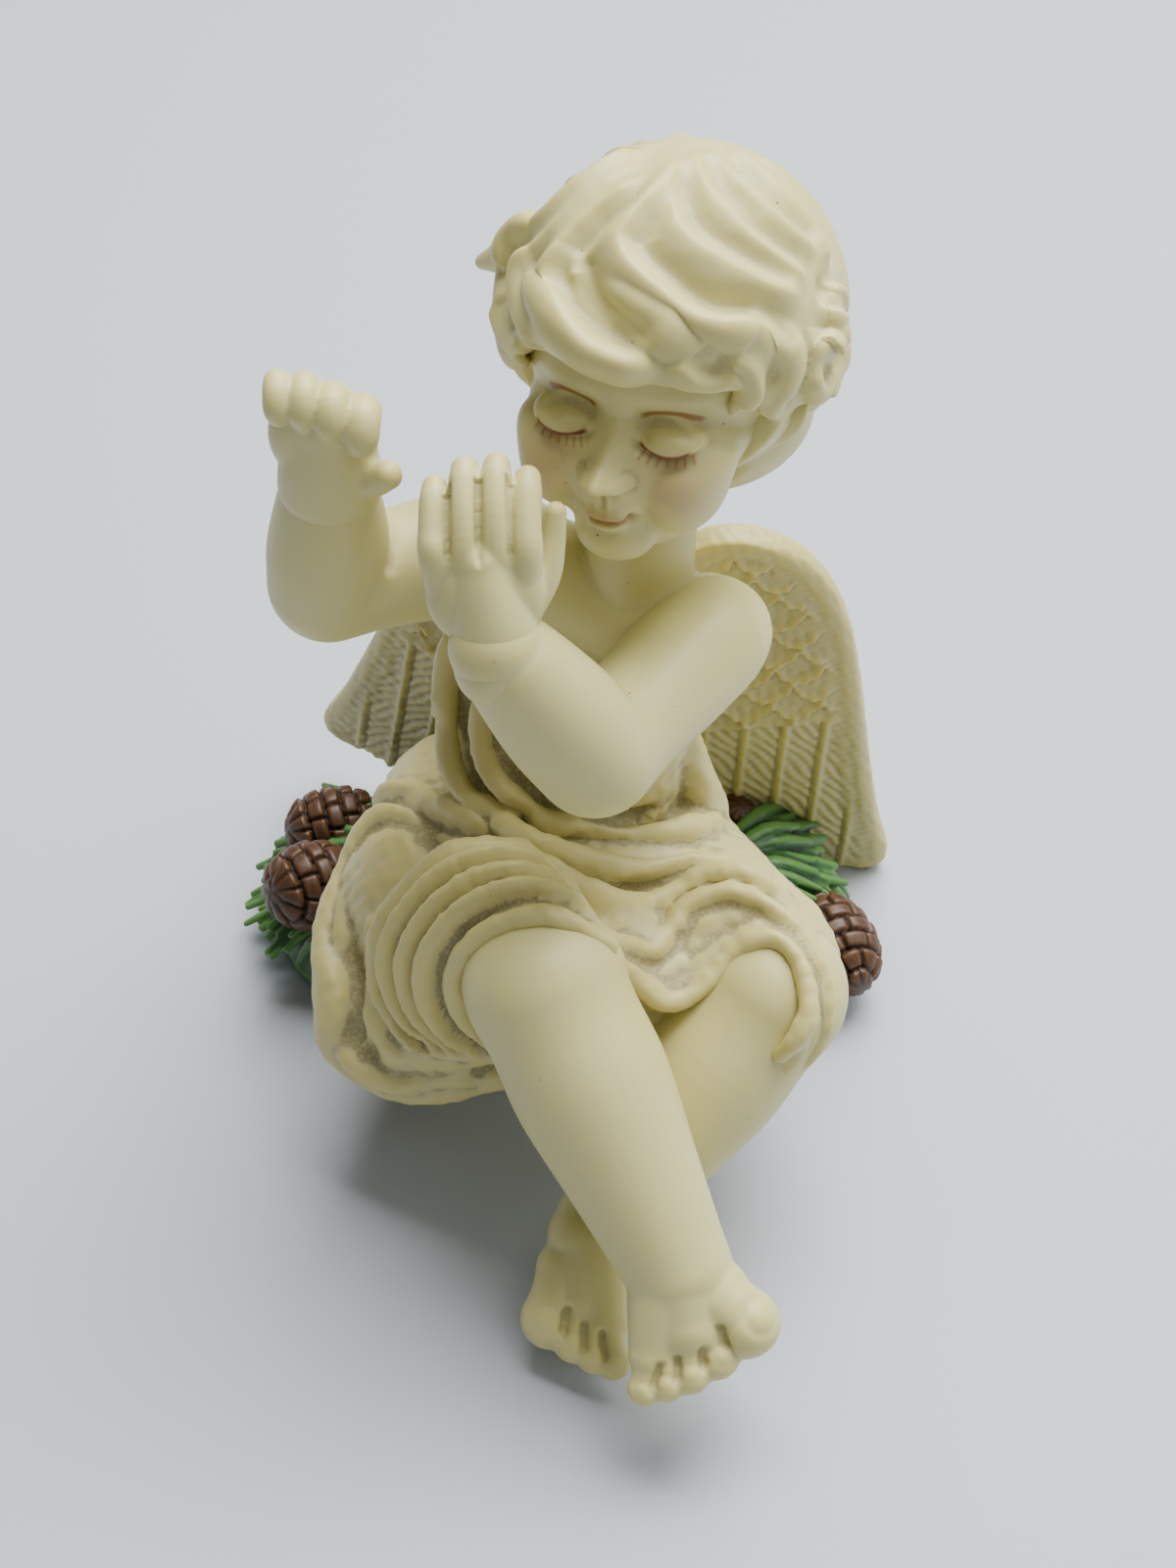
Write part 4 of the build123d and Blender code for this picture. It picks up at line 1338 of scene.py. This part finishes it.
SIDE_HEM = (
    (20.0, -24.0, 11.6), (22.8, -26.3, 10.8), (23.6, -29.5, 8.8), (23.2, -32.0, 6.2),
    (22.2, -33.0, 3.8), (20.8, -32.8, 1.5),
)
SIDE_EDGE = (
    (21.5, -17.0, 9.0), (24.6, -20.5, 8.0), (25.6, -24.0, 5.4), (25.8, -26.5, 2.6), (24.8, -28.0, 0.2),
    (23.0, -27.5, -2.0),
)
WAIST_LINE = ((-15, -2, 3), (-10.5, -7, 9.4), (-7, -12.5, 13), (-3, -17, 15.6))
LAP_LINES = (
    ((-0.5, -12.0, 15.6), (3.2, -13.8, 13.7), (8.0, -13.5, 10.8), (12.8, -12.4, 10.1), (16.4, -9.5, 9.5)),
    (
        (-2.4, -16.0, 15.6), (1.4, -19.5, 15.6), (5.1, -19.8, 14.0), (9.5, -18.6, 11.5),
        (13.3, -17.4, 11.0), (17.0, -15.8, 10.8),
    ),
    (
        (1.0, -22.5, 17.4), (4.2, -24.0, 15.6), (6.8, -23.6, 13.0), (9.6, -22.0, 10.8),
        (12.7, -20.2, 10.6), (15.8, -19.0, 11.8), (18.9, -19.6, 12.1), (21.7, -20.4, 10.9),
    ),
)
BODICE_LINES = (
    ((-5.2, -3.5, 31.0), (-6.2, -6.5, 24.0), (-6.4, -8.6, 18.0), (-5.0, -11.4, 14.8), (-2.0, -15.0, 15.0)),
    ((-2.6, -8.5, 27.5), (-3.4, -10.8, 21.6), (-2.2, -13.0, 18.2), (0.8, -14.2, 15.6), (5.1, -14.0, 12.4)),
)
BACK_LINES = (
    ((-9, 6, 6), (-3, 10.2, 10), (5, 10.4, 9), (12, 7, 6)),
    ((-7, 6, 12), (-1, 9.6, 15), (6, 9.8, 14), (12, 6, 11)),
    ((-5, 6, 19), (1, 8.6, 22), (7, 8.6, 21), (12, 4, 17)),
)


class Robe:
    """The draped robe: over the right shoulder, under the left arm and over both thighs."""

    def __init__(self) -> None:
        """Starts the robe."""
        self.bones = Skeleton()
        self.clay = Clay("robe", 0.36)

    def at(self, knots: Sequence[Point]) -> np.ndarray:
        """Places measured from the pelvis."""
        return self.bones.pelvis + np.array(knots, float)

    def drape(
        self, first: Sequence[Point], last: Sequence[Point], crests: int, thin: float, thick: float
    ) -> None:
        """Lays corrugated cloth between two lines.

        Args:
            first: One edge's points, from the pelvis.
            last: The other edge's points, as many.
            crests: How many folds lie between the edges.
            thin: The cloth's half thickness in the hollows.
            thick: The same at the crests.
        """
        start, stop = self.at(first), self.at(last)
        count = crests * 4
        for step in range(count + 1):
            share = step / count
            full = math.cos(math.pi * share * crests) ** 2
            middle = start + (stop - start) * share
            sunk = (1 - full) * 0.5
            middle = middle + np.array((0.25 * sunk, sunk * 0.6, -0.7 * sunk))
            ends = np.array([0.75, *[1.0] * (len(first) - 2), 0.65])
            self.clay.roll(middle, (thin + (thick - thin) * full) * ends, 5)

    def build(self) -> None:
        """Models the robe."""
        bones = self.bones
        self.clay.ball(bones.pelvis, (12.6, 11.2, 9.8), Euler((0, 0, math.radians(-15))))
        self.clay.roll((bones.pelvis, bones.belly, bones.chest), (10.6, 11.3, 10.0), 4)
        girdle = bones.chest + (bones.right_shoulder - bones.chest) * 0.85
        self.clay.roll((girdle, bones.chest + (bones.neck - bones.chest) * 0.5), (6.3, 5.4), 4)
        self.neckline()
        self.clay.ball(self.at([(-1.5, -12, 8)])[0], (8.0, 7.5, 7.0))
        self.clay.roll(self.at(((4.5, -24, 10), (10.5, -24.5, 6.5))), (4.6, 4.4), 4)
        right_hem = bones.right_hip + (bones.right_knee - bones.right_hip) * 0.82
        left_hem = bones.left_hip + (bones.left_knee - bones.left_hip) * 0.84
        right_middle = bones.right_hip * 0.5 + right_hem * 0.5
        self.clay.roll((bones.right_hip, right_middle, right_hem), (8.0, 7.4, 6.2), 4)
        self.clay.roll((bones.left_hip, left_hem), (8.0, 7.3), 4)
        self.clay.roll(self.at(((0, -19, 7), (9, -17.5, 5.2), (16, -17, 4.2))), (7.2, 6.4, 6.4), 4)
        self.clay.roll(self.at(((-6, -2, 1), (-9.5, -14, 3.2), (-10.2, -21.5, 1.6))), (9.0, 7.6, 4.8), 4)
        self.clay.roll(self.at(((-9, -22, -2), (-2, -25, -1))), (4.2, 4.6), 4)
        self.clay.roll(self.at(((6, -21, 4), (9.5, -25, 3.4), (13, -24.5, 3.0))), (3.4, 3.2, 3.2), 4)
        self.clay.roll(self.at(((17, -18, 2), (25.2, -24.6, 1.2))), (5.0, 2.6), 4)
        self.clay.roll(self.at(((12.3, -7.8, 23), (14.3, -5.8, 12), (15.6, -5.0, 6))), (1.4, 1.9, 2.4), 4)
        self.drape(KNEE_HEM, THIGH_FOLD, 4, 0.9, 1.1)
        self.drape(LAP_HEM, LAP_FOLD, 1, 0.6, 1.0)
        self.drape(SIDE_HEM, SIDE_EDGE, 2, 0.8, 1.0)
        self.clay.roll(self.at(((-12.5, -19, 0.5), (-12.8, -25, -1.6), (-6, -27, -1))), (4.0, 3.3, 3.2), 4)
        self.clay.roll(self.at(HIP_FOLD), (0.9, 1.4, 1.8, 2.2, 2.4, 2.5, 2.5, 2.4, 2.4, 2.1, 1.3), 5)
        self.clay.roll(self.at(POCKET_EDGE), (1.2, 1.4, 1.5, 1.4, 1.3, 0.9), 5)
        for line in LAP_LINES:
            self.clay.roll(self.at(line) - np.array((0, 0, 0.5)), [1.0, *[1.35] * (len(line) - 2), 0.9], 5)
        for line in BODICE_LINES:
            self.clay.roll(self.at(line), [0.8, *[1.1] * (len(line) - 2), 0.9], 5)
        self.clay.fuse(4)
        folds = [Fold(self.at(line), 0.7, 1.0, 0.5, 2.0, 0.8) for line in BACK_LINES]
        for line in (*BODICE_LINES, *LAP_LINES):
            folds.append(Fold(self.at(line), 1.0, 0.75, 1.1, 1.45, 0.75, 0.2, 1.9))
        hem, far = self.at(KNEE_HEM), self.at(THIGH_FOLD)
        for share in (0.27, 0.53, 0.79, 1.05):
            folds.append(Fold(hem + (far - hem) * share, 1.25, 0.62, 1.0, 1.15, 0.5, 0.1, 2.1))
        folds.append(Fold(self.at(HIP_FOLD), 0.3, 0.8, 0.6, 2.2, 0.8, 0.08))
        folds.append(Fold(self.at(LAP_FOLD), 0.3, 0.6, 0.5, -1.4, 0.6, 0.08))
        folds += [Fold(self.at(line) + np.array((-3.4, 0.5, -1.5)), 0.4, 0.8) for line in BODICE_LINES[:1]]
        folds.append(Fold(self.at(WAIST_LINE), 0.9, 1.0, 0.8, -1.6, 0.7))
        self.clay.work(folds)
        points = self.clay.points()
        far = np.linalg.norm((points - self.at([POCKET])[0]) / np.array((1.4, 2.0, 1.8)), axis=1)
        self.clay.push(-1.8 * bell(far, 1.0))
        self.clay.roughen(1.7, 0.05)

    def neckline(self) -> None:
        """Cuts the bodice open from the right side of the neck to under the left arm."""
        bones = self.bones
        middle = bones.chest + (bones.neck - bones.chest) * 0.3
        way = Vector((0.62, -0.35, 0.7)).to_track_quat("Z", "Y").to_matrix().to_4x4()
        turn = Matrix.Translation(Vector(middle)) @ way
        for lump in self.clay.lumps:
            self.clay.lumps.append(lump)
            self.clay.pare((0, 0, 60), (200, 200, 120), turn)
            self.clay.lumps.pop()

    def dress(self) -> None:
        """Finishes and places the robe."""
        self.clay.finish(ROBE, "robe_resin", "robe_bodice", "robe_skirt")


# Wings

@dataclass(frozen=True)
class WingSizes:
    """Sizes of a wing, in millimetres and degrees."""

    span: float = 27.0
    height: float = 51.0
    thickness: float = 3.0
    lean: float = 9.0
    sweep: float = 16.0
    right_roll: float = 17.0
    inset: float = 3.5
    root_share: float = 0.64
    trunk_turn: float = -15.0
    scallop: float = 4.7
    row: float = 2.7
    scale_share: float = 0.56
    quills: int = 7


class Wing:
    """A flat wing: a thick smooth rim, rows of round scales and long barbed feathers below."""

    def __init__(self, side: Side, sizes: WingSizes = WingSizes()) -> None:
        """Starts the wing of one side."""
        self.side = side
        self.sizes = sizes
        self.clay = Clay(f"{side.name.lower()}_wing", 0.2)
        if side is Side.LEFT:
            root, roll = spot("left_wing", (0.155, 0.51, 0.64)), 0.0
        else:
            root, roll = spot("right_wing", (0.975, 0.18, 0.575)), math.radians(sizes.right_roll)
        turn = Matrix.Rotation(math.radians(sizes.trunk_turn + side.value * sizes.sweep), 4, "Z")
        turn = turn @ Matrix.Rotation(math.radians(sizes.lean), 4, "X") @ Matrix.Rotation(roll, 4, "Y")
        shift = Matrix.Translation(Vector((-side.value * sizes.inset, 0, -sizes.height * sizes.root_share)))
        self.place = Matrix.Translation(Vector(root)) @ turn @ shift

    def edges(self) -> tuple[np.ndarray, np.ndarray]:
        """The wing's outline from its root over the top to its tip, and from the root to the heel."""
        span, height = self.sizes.span, self.sizes.height
        outer = through(
            ((0, 0.64), (0.04, 0.80), (0.13, 0.93), (0.27, 0.99), (0.42, 0.995), (0.56, 0.95), (0.67, 0.86),
             (0.75, 0.73), (0.81, 0.56), (0.87, 0.36), (0.94, 0.16), (0.995, 0.05), (0.99, 0.01),
             (0.94, 0.0)), 8)
        inner = np.array(((0, 0.64), (0.28, 0.3), (0.5, 0.02), (0.94, 0.0)))
        return outer * (span, height), inner * (span, height)

    def build(self) -> None:
        """Models the wing as a dense plate with its relief on both faces."""
        sizes = self.sizes
        outer, inner = self.edges()
        ring = np.vstack([outer, inner[::-1][1:-1]])
        deselect()
        mesh = bpy.data.meshes.new("wing")
        count = len(ring)
        front = [(x, -sizes.thickness * 0.85, z) for x, z in ring]
        back = [(x, -sizes.thickness * 0.15, z) for x, z in ring]
        faces = [tuple(range(count)), tuple(range(2 * count - 1, count - 1, -1))]
        faces += [(i + count, (i + 1) % count + count, (i + 1) % count, i) for i in range(count)]
        mesh.from_pydata(front + back, [], faces)
        mesh.update()
        plate = bpy.data.objects.new("wing", mesh)
        bpy.context.scene.collection.objects.link(plate)
        self.clay.lumps.append(plate)
        edge = outer[::4]
        rim = edge + (np.array((1.4, 0)) - edge * (1.8 / sizes.span, 2.0 / sizes.height) + (0, 0.6))
        self.clay.roll([(x, -sizes.thickness / 2, z) for x, z in rim[2:]], [1.25] * (len(rim) - 2), 3)
        self.clay.fuse(3)
        points = self.clay.points()
        lift = self.relief(points[:, 0], points[:, 2], outer)
        facing = self.clay.normals()[:, 1]
        points[:, 1] += np.where(np.abs(facing) > 0.35, np.sign(facing) * lift, 0)
        points[:, 0] *= self.side.value
        self.clay.place(moved(points, self.place))
        if self.side is Side.RIGHT:
            self.clay.shape.data.flip_normals()
        self.clay.place(self.clay.relaxed(1))
        self.clay.roughen(1.1, 0.035)

    def relief(self, across: np.ndarray, up: np.ndarray, outer: np.ndarray) -> np.ndarray:
        """How far the feathers stand out at places on the wing."""
        sizes = self.sizes
        edge = np.full(len(across), 1e9)
        for x, z in outer[4:]:
            edge = np.minimum(edge, (across - x) ** 2 + (up - z) ** 2)
        edge = np.sqrt(edge)
        within = rising(edge - 2.0, 0.2)
        low = sizes.height * (1 - sizes.scale_share) + 0.10 * across
        row = np.floor((up - low) / sizes.row)
        scales = np.zeros(len(across))
        for offset in (-1, 0, 1):
            number = row + offset
            shift = (number % 2) * sizes.scallop / 2 + 0.35 * np.sin(number * 2.3)
            column = np.round((across - shift) / sizes.scallop)
            aside = (across - shift - column * sizes.scallop) / (sizes.scallop * 0.54)
            foot = low + number * sizes.row
            depth = up - foot
            reach = sizes.row * 1.15 * (1 - np.sqrt(np.clip(1 - aside**2, 0, 1)))
            inside = depth - reach + sizes.row * 0.25
            deep = np.clip(inside, 0, None)
            tone = 1.15 * np.exp(-deep / 1.2) + 0.16 * np.cos(aside * 14 + number) * np.exp(-deep)
            scales = np.where(inside > 0, tone, scales)
        slant = across - (0.26 * (up / sizes.height) - 0.10) * sizes.span * 0.2
        pitch = sizes.span / sizes.quills
        share = slant / pitch - np.floor(slant / pitch)
        shaft = 0.24 * bell((share - 0.12) * pitch, 0.28) - 0.16 * bell((share - 0.98) * pitch, 0.22)
        barbs = 0.13 * np.sin((up * 0.7 + across * 0.95 + 0.25 * np.sin(up * 0.9)) * 6.28 / 1.25)
        feathers = 0.15 + shaft + barbs * np.clip(share * 4 - 0.5, 0, 1) - 0.25 * share
        upper = rising(up - low - 0.2 * sizes.row, 0.15)
        return within * (upper * scales + (1 - upper) * feathers) + (1 - within) * 0.25

    def dress(self) -> None:
        """Finishes and places the wing."""
        self.clay.finish(WING, "wing_resin", "left_wing" if self.side is Side.LEFT else "right_wing")


# Greenery

@dataclass(frozen=True)
class BoughPlan:
    """One tuft of pine: its CAD node, its root and tip as shares of the node's box, and how far it fans."""

    node: str
    root: tuple[float, float, float]
    tip: tuple[float, float, float]
    fan: tuple[float, float, float]
    needles: int = 18


BOUGHS = (
    BoughPlan("bough_left", (1.05, 0.65, 0.85), (0.02, 0.62, 0.20), (0.5, 9.5, 0.3), 18),
    BoughPlan("bough_right", (-0.1, 0.35, 0.9), (0.85, 0.60, 0.35), (-1.0, 8.5, 0.5), 18),
    BoughPlan("bough_back", (0.5, -0.3, 1.0), (0.5, 0.95, 0.10), (9.5, 0.0, 0.0), 18),
)


class Bough:
    """A tuft of long ridged needles."""

    def __init__(self, plan: BoughPlan) -> None:
        """Starts the tuft."""
        self.plan = plan
        self.clay = Clay(f"{plan.node}_piece", 0.2)

    def build(self) -> None:
        """Models the tuft as fans of tapering needles in three layers."""
        plan = self.plan
        rng = np.random.default_rng(SEED + len(plan.node) + plan.needles)
        root, tip = spot(plan.node, plan.root), spot(plan.node, plan.tip)
        self.clay.ball(root * 0.75 + tip * 0.25, (4.0, 4.6, 2.6))
        for layer, rise in enumerate((0.0, 0.9, 2.0)):
            count = plan.needles - 4 * layer
            for number in range(count):
                lean = 2 * number / (count - 1) - 1 + rng.uniform(-0.06, 0.06)
                fan = np.array(plan.fan) * lean
                reach = (1 - 0.13 * layer) * (1 - 0.22 * lean * lean) * rng.uniform(0.9, 1.05)
                start = root + fan * 0.35 + np.array((0, 0, rise * 0.5))
                stop = root + (tip - root) * reach + fan + np.array((0, 0, rise + rng.uniform(-0.5, 0.6)))
                middle = (start + stop) / 2 + np.array((0, 0, 0.9 + rng.uniform(-0.3, 0.5)))
                thick = rng.uniform(0.7, 1.05)
                self.clay.roll((start, middle, stop), (thick, thick, thick * 0.45), 3)
        self.clay.fuse(1)
        floor = self.clay.points()
        floor[:, 2] = np.maximum(floor[:, 2], 1.05)
        self.clay.place(floor)

    def dress(self) -> None:
        """Finishes and places the tuft."""
        self.clay.finish(GREEN, "needle_green", self.plan.node)


GOLDEN_ANGLE = 2.39996


class Mound:
    """The mound of boughs that the figure sits on, seen between the tufts."""

    def __init__(self, needles: int = 230) -> None:
        """Starts the mound."""
        self.needles = needles
        self.clay = Clay("mound_greenery", 0.3)

    def build(self) -> None:
        """Models the mound with short needles laid down its slope all round."""
        low, high = spot("pine_mound", (0, 0, 0)), spot("pine_mound", (1, 1, 1))
        half = (high - low) / 2 - np.array((0.8, 0.8, 0))
        tall = high[2] - 0.4
        middle = (low + high) / 2
        self.clay.ball((middle[0], middle[1], 0), (half[0], half[1], tall))
        self.clay.pare((0, 0, -49), (200, 200, 100))
        rng = np.random.default_rng(SEED)
        for number in range(self.needles):
            angle = number * GOLDEN_ANGLE
            share = 0.35 + 0.62 * ((number + 0.5) / self.needles) ** 0.5
            knots = []
            for step in (0, 0.5, 1):
                far = min(share - 0.1 + 0.13 * step, 1.0)
                way = angle + (step - 0.5) * rng.uniform(-0.12, 0.12)
                top = tall * math.sqrt(max(1 - far * far, 0))
                x = middle[0] + half[0] * far * math.cos(way)
                y = middle[1] + half[1] * far * math.sin(way)
                knots.append((x, y, max(top + 0.15, 1.7)))
            self.clay.roll(knots, (0.6, 0.7, 0.3), 2)
        self.clay.fuse(1)
        points = self.clay.points()
        points[:, 2] = np.maximum(points[:, 2], low[2])
        self.clay.place(points)

    def dress(self) -> None:
        """Finishes and places the mound."""
        self.clay.finish(GREEN, "mound_green", "pine_mound")


@dataclass(frozen=True)
class ConePlan:
    """One pine cone: its CAD node, its aim, its middle as a share of the node's box and its half sizes."""

    node: str
    aim: tuple[float, float, float]
    middle: tuple[float, float, float]
    girth: float = 4.2
    half_length: float = 5.4
    rows: float = 1.75
    columns: int = 9


CONES = (
    ConePlan("cone_left_upper", (-8, -3, 2), (0.55, 0.45, 0.3), 3.9, 5.4),
    ConePlan("cone_left_lower", (-7, -5, 4), (0.5, 0.35, 0.45), 4.3, 5.2),
    ConePlan("cone_right_outer", (4, -8, -1), (0.35, 0.55, 0.5), 4.1, 5.9),
    ConePlan("cone_right_inner", (2, -2, 8), (0.55, 0.45, 0.25), 2.4, 3.0),
)


class Cone:
    """A pine cone carved with staggered rows of square scales."""

    def __init__(self, plan: ConePlan) -> None:
        """Starts the cone."""
        self.plan = plan
        self.clay = Clay(f"{plan.node}_piece", 0.14)

    def build(self) -> None:
        """Models the cone in its own frame, then sets it in its place."""
        plan = self.plan
        self.clay.ball((0, 0, 0), (plan.girth, plan.girth, plan.half_length))
        self.clay.fuse(2)
        points = self.clay.points()
        rng = np.random.default_rng(SEED + len(plan.node))
        angle = np.arctan2(points[:, 1], points[:, 0])
        up = points[:, 2] + 0.35 * np.sin(angle * 2 + rng.uniform(0, 6))
        row = np.floor(up / plan.rows)
        in_row = up / plan.rows - row
        column = angle / 6.2832 * plan.columns + 0.5 * (row % 2) + 0.16 * np.sin(row * 3.1)
        in_column = column - np.floor(column)
        round_here = 6.2832 * np.hypot(points[:, 0], points[:, 1])
        beside = np.minimum(in_column, 1 - in_column) * round_here / plan.columns
        under = np.minimum(in_row, 1 - in_row) * plan.rows
        groove = bell(beside, 0.17) * 0.45 + bell(under, 0.2) * 0.6
        tilt = 0.28 * (1 - in_row) - 0.1
        bulge = 0.18 * np.clip(beside / 0.9, 0, 1) ** 0.5
        tips = np.clip((plan.half_length - np.abs(points[:, 2])) / 1.2, 0.2, 1)
        self.clay.push((tilt + bulge - np.minimum(groove, 0.8)) * tips)
        self.clay.place(self.clay.relaxed(1))
        middle = spot(plan.node, plan.middle)
        turn = np.array(Vector(plan.aim).to_track_quat("Z", "Y").to_matrix())
        points = self.clay.points() @ turn.T + middle
        points[:, 2] = np.maximum(points[:, 2], 1.1)
        self.clay.place(points)

    def dress(self) -> None:
        """Finishes and places the cone."""
        self.clay.finish(BROWN, "cone_brown", self.plan.node)


# The hidden parts keep their CAD shapes

def dress_plain(finishes: dict[str, Finish]) -> None:
    """Gives CAD objects their materials without changing their shapes."""
    for node, finish in finishes.items():
        piece = bpy.data.objects.get(node)
        if piece is None or piece.type != "MESH":
            LOG.warning("no object for %s", node)
            continue
        piece.data.materials.clear()
        piece.data.materials.append(finish.material())


PLAIN = {"felt_pad": FELT, "neck_pin": STEEL, "arm_pins": STEEL, "leg_pins": STEEL, "wing_pins": STEEL}


# The set

@dataclass(frozen=True)
class Lamp:
    """A soft square lamp, in metres and watts."""

    name: str
    place: tuple[float, float, float]
    size: float
    power: float
    colour: Colour = (1.0, 1.0, 1.0)


LAMPS = (
    Lamp("overhead", (0.13, 0.20, 0.60), 0.5, 10.8),
    Lamp("window", (0.55, 0.10, 0.45), 0.35, 1.6, (0.93, 0.97, 1.0)),
    Lamp("front fill", (0.20, -0.35, 0.55), 0.4, 0.7),
)


class Studio:
    """A pale table top under soft light, seen from above the figure's lap."""

    def floor(self) -> None:
        """Lays the table top."""
        deselect()
        bpy.ops.mesh.primitive_plane_add(size=4.0)
        top = bpy.context.object
        top.name = "table top"
        made = bpy.data.materials.new("table top")
        made.use_nodes = True
        shader = made.node_tree.nodes["Principled BSDF"]
        shader.inputs["Base Color"].default_value = (0.50, 0.53, 0.58, 1)
        shader.inputs["Roughness"].default_value = 0.62
        top.data.materials.append(made)

    def lights(self) -> None:
        """Hangs the lamps and sets the surrounding light."""
        for lamp in LAMPS:
            light = bpy.data.lights.new(lamp.name, "AREA")
            light.size = lamp.size
            light.energy = lamp.power
            light.color = lamp.colour
            holder = bpy.data.objects.new(lamp.name, light)
            holder.location = lamp.place
            aim = Vector((0, -0.01, 0.03)) - Vector(lamp.place)
            holder.rotation_euler = aim.to_track_quat("-Z", "Y").to_euler()
            bpy.context.scene.collection.objects.link(holder)
        world = bpy.context.scene.world or bpy.data.worlds.new("room")
        bpy.context.scene.world = world
        world.use_nodes = True
        ground = world.node_tree.nodes["Background"]
        ground.inputs["Color"].default_value = (0.90, 0.95, 1.0, 1)
        ground.inputs["Strength"].default_value = 0.14

    def camera(self) -> None:
        """Sets the camera."""
        seen = bpy.data.cameras.new("camera")
        seen.lens = 60.75
        seen.clip_start = 0.01
        holder = bpy.data.objects.new("camera", seen)
        pitch = math.radians(45)
        holder.rotation_euler = (pitch, 0, 0)
        away = 0.240
        holder.location = (0.002, -0.009 - away * math.cos(pitch), 0.030 + away * math.sin(pitch))
        bpy.context.scene.collection.objects.link(holder)
        bpy.context.scene.camera = holder

    def build(self) -> None:
        """Builds the whole set."""
        self.floor()
        self.lights()
        self.camera()


def main() -> None:
    """Builds every piece and the set."""
    logging.basicConfig(level=logging.INFO, format="%(message)s")
    pieces = [
        Head(HEAD), Hair(HEAD), Torso(), Arm(Side.LEFT), Arm(Side.RIGHT), Hand(Side.LEFT), Hand(Side.RIGHT),
        Leg(Side.LEFT), Leg(Side.RIGHT), Robe(), Wing(Side.LEFT), Wing(Side.RIGHT), Mound(),
        *(Bough(plan) for plan in BOUGHS), *(Cone(plan) for plan in CONES),
    ]
    for piece in pieces:
        LOG.info("making the %s", piece.clay.name)
        piece.build()
        piece.dress()
    dress_plain(PLAIN)
    Studio().build()
    bpy.context.view_layer.update()


if __name__ == "__main__":
    main()
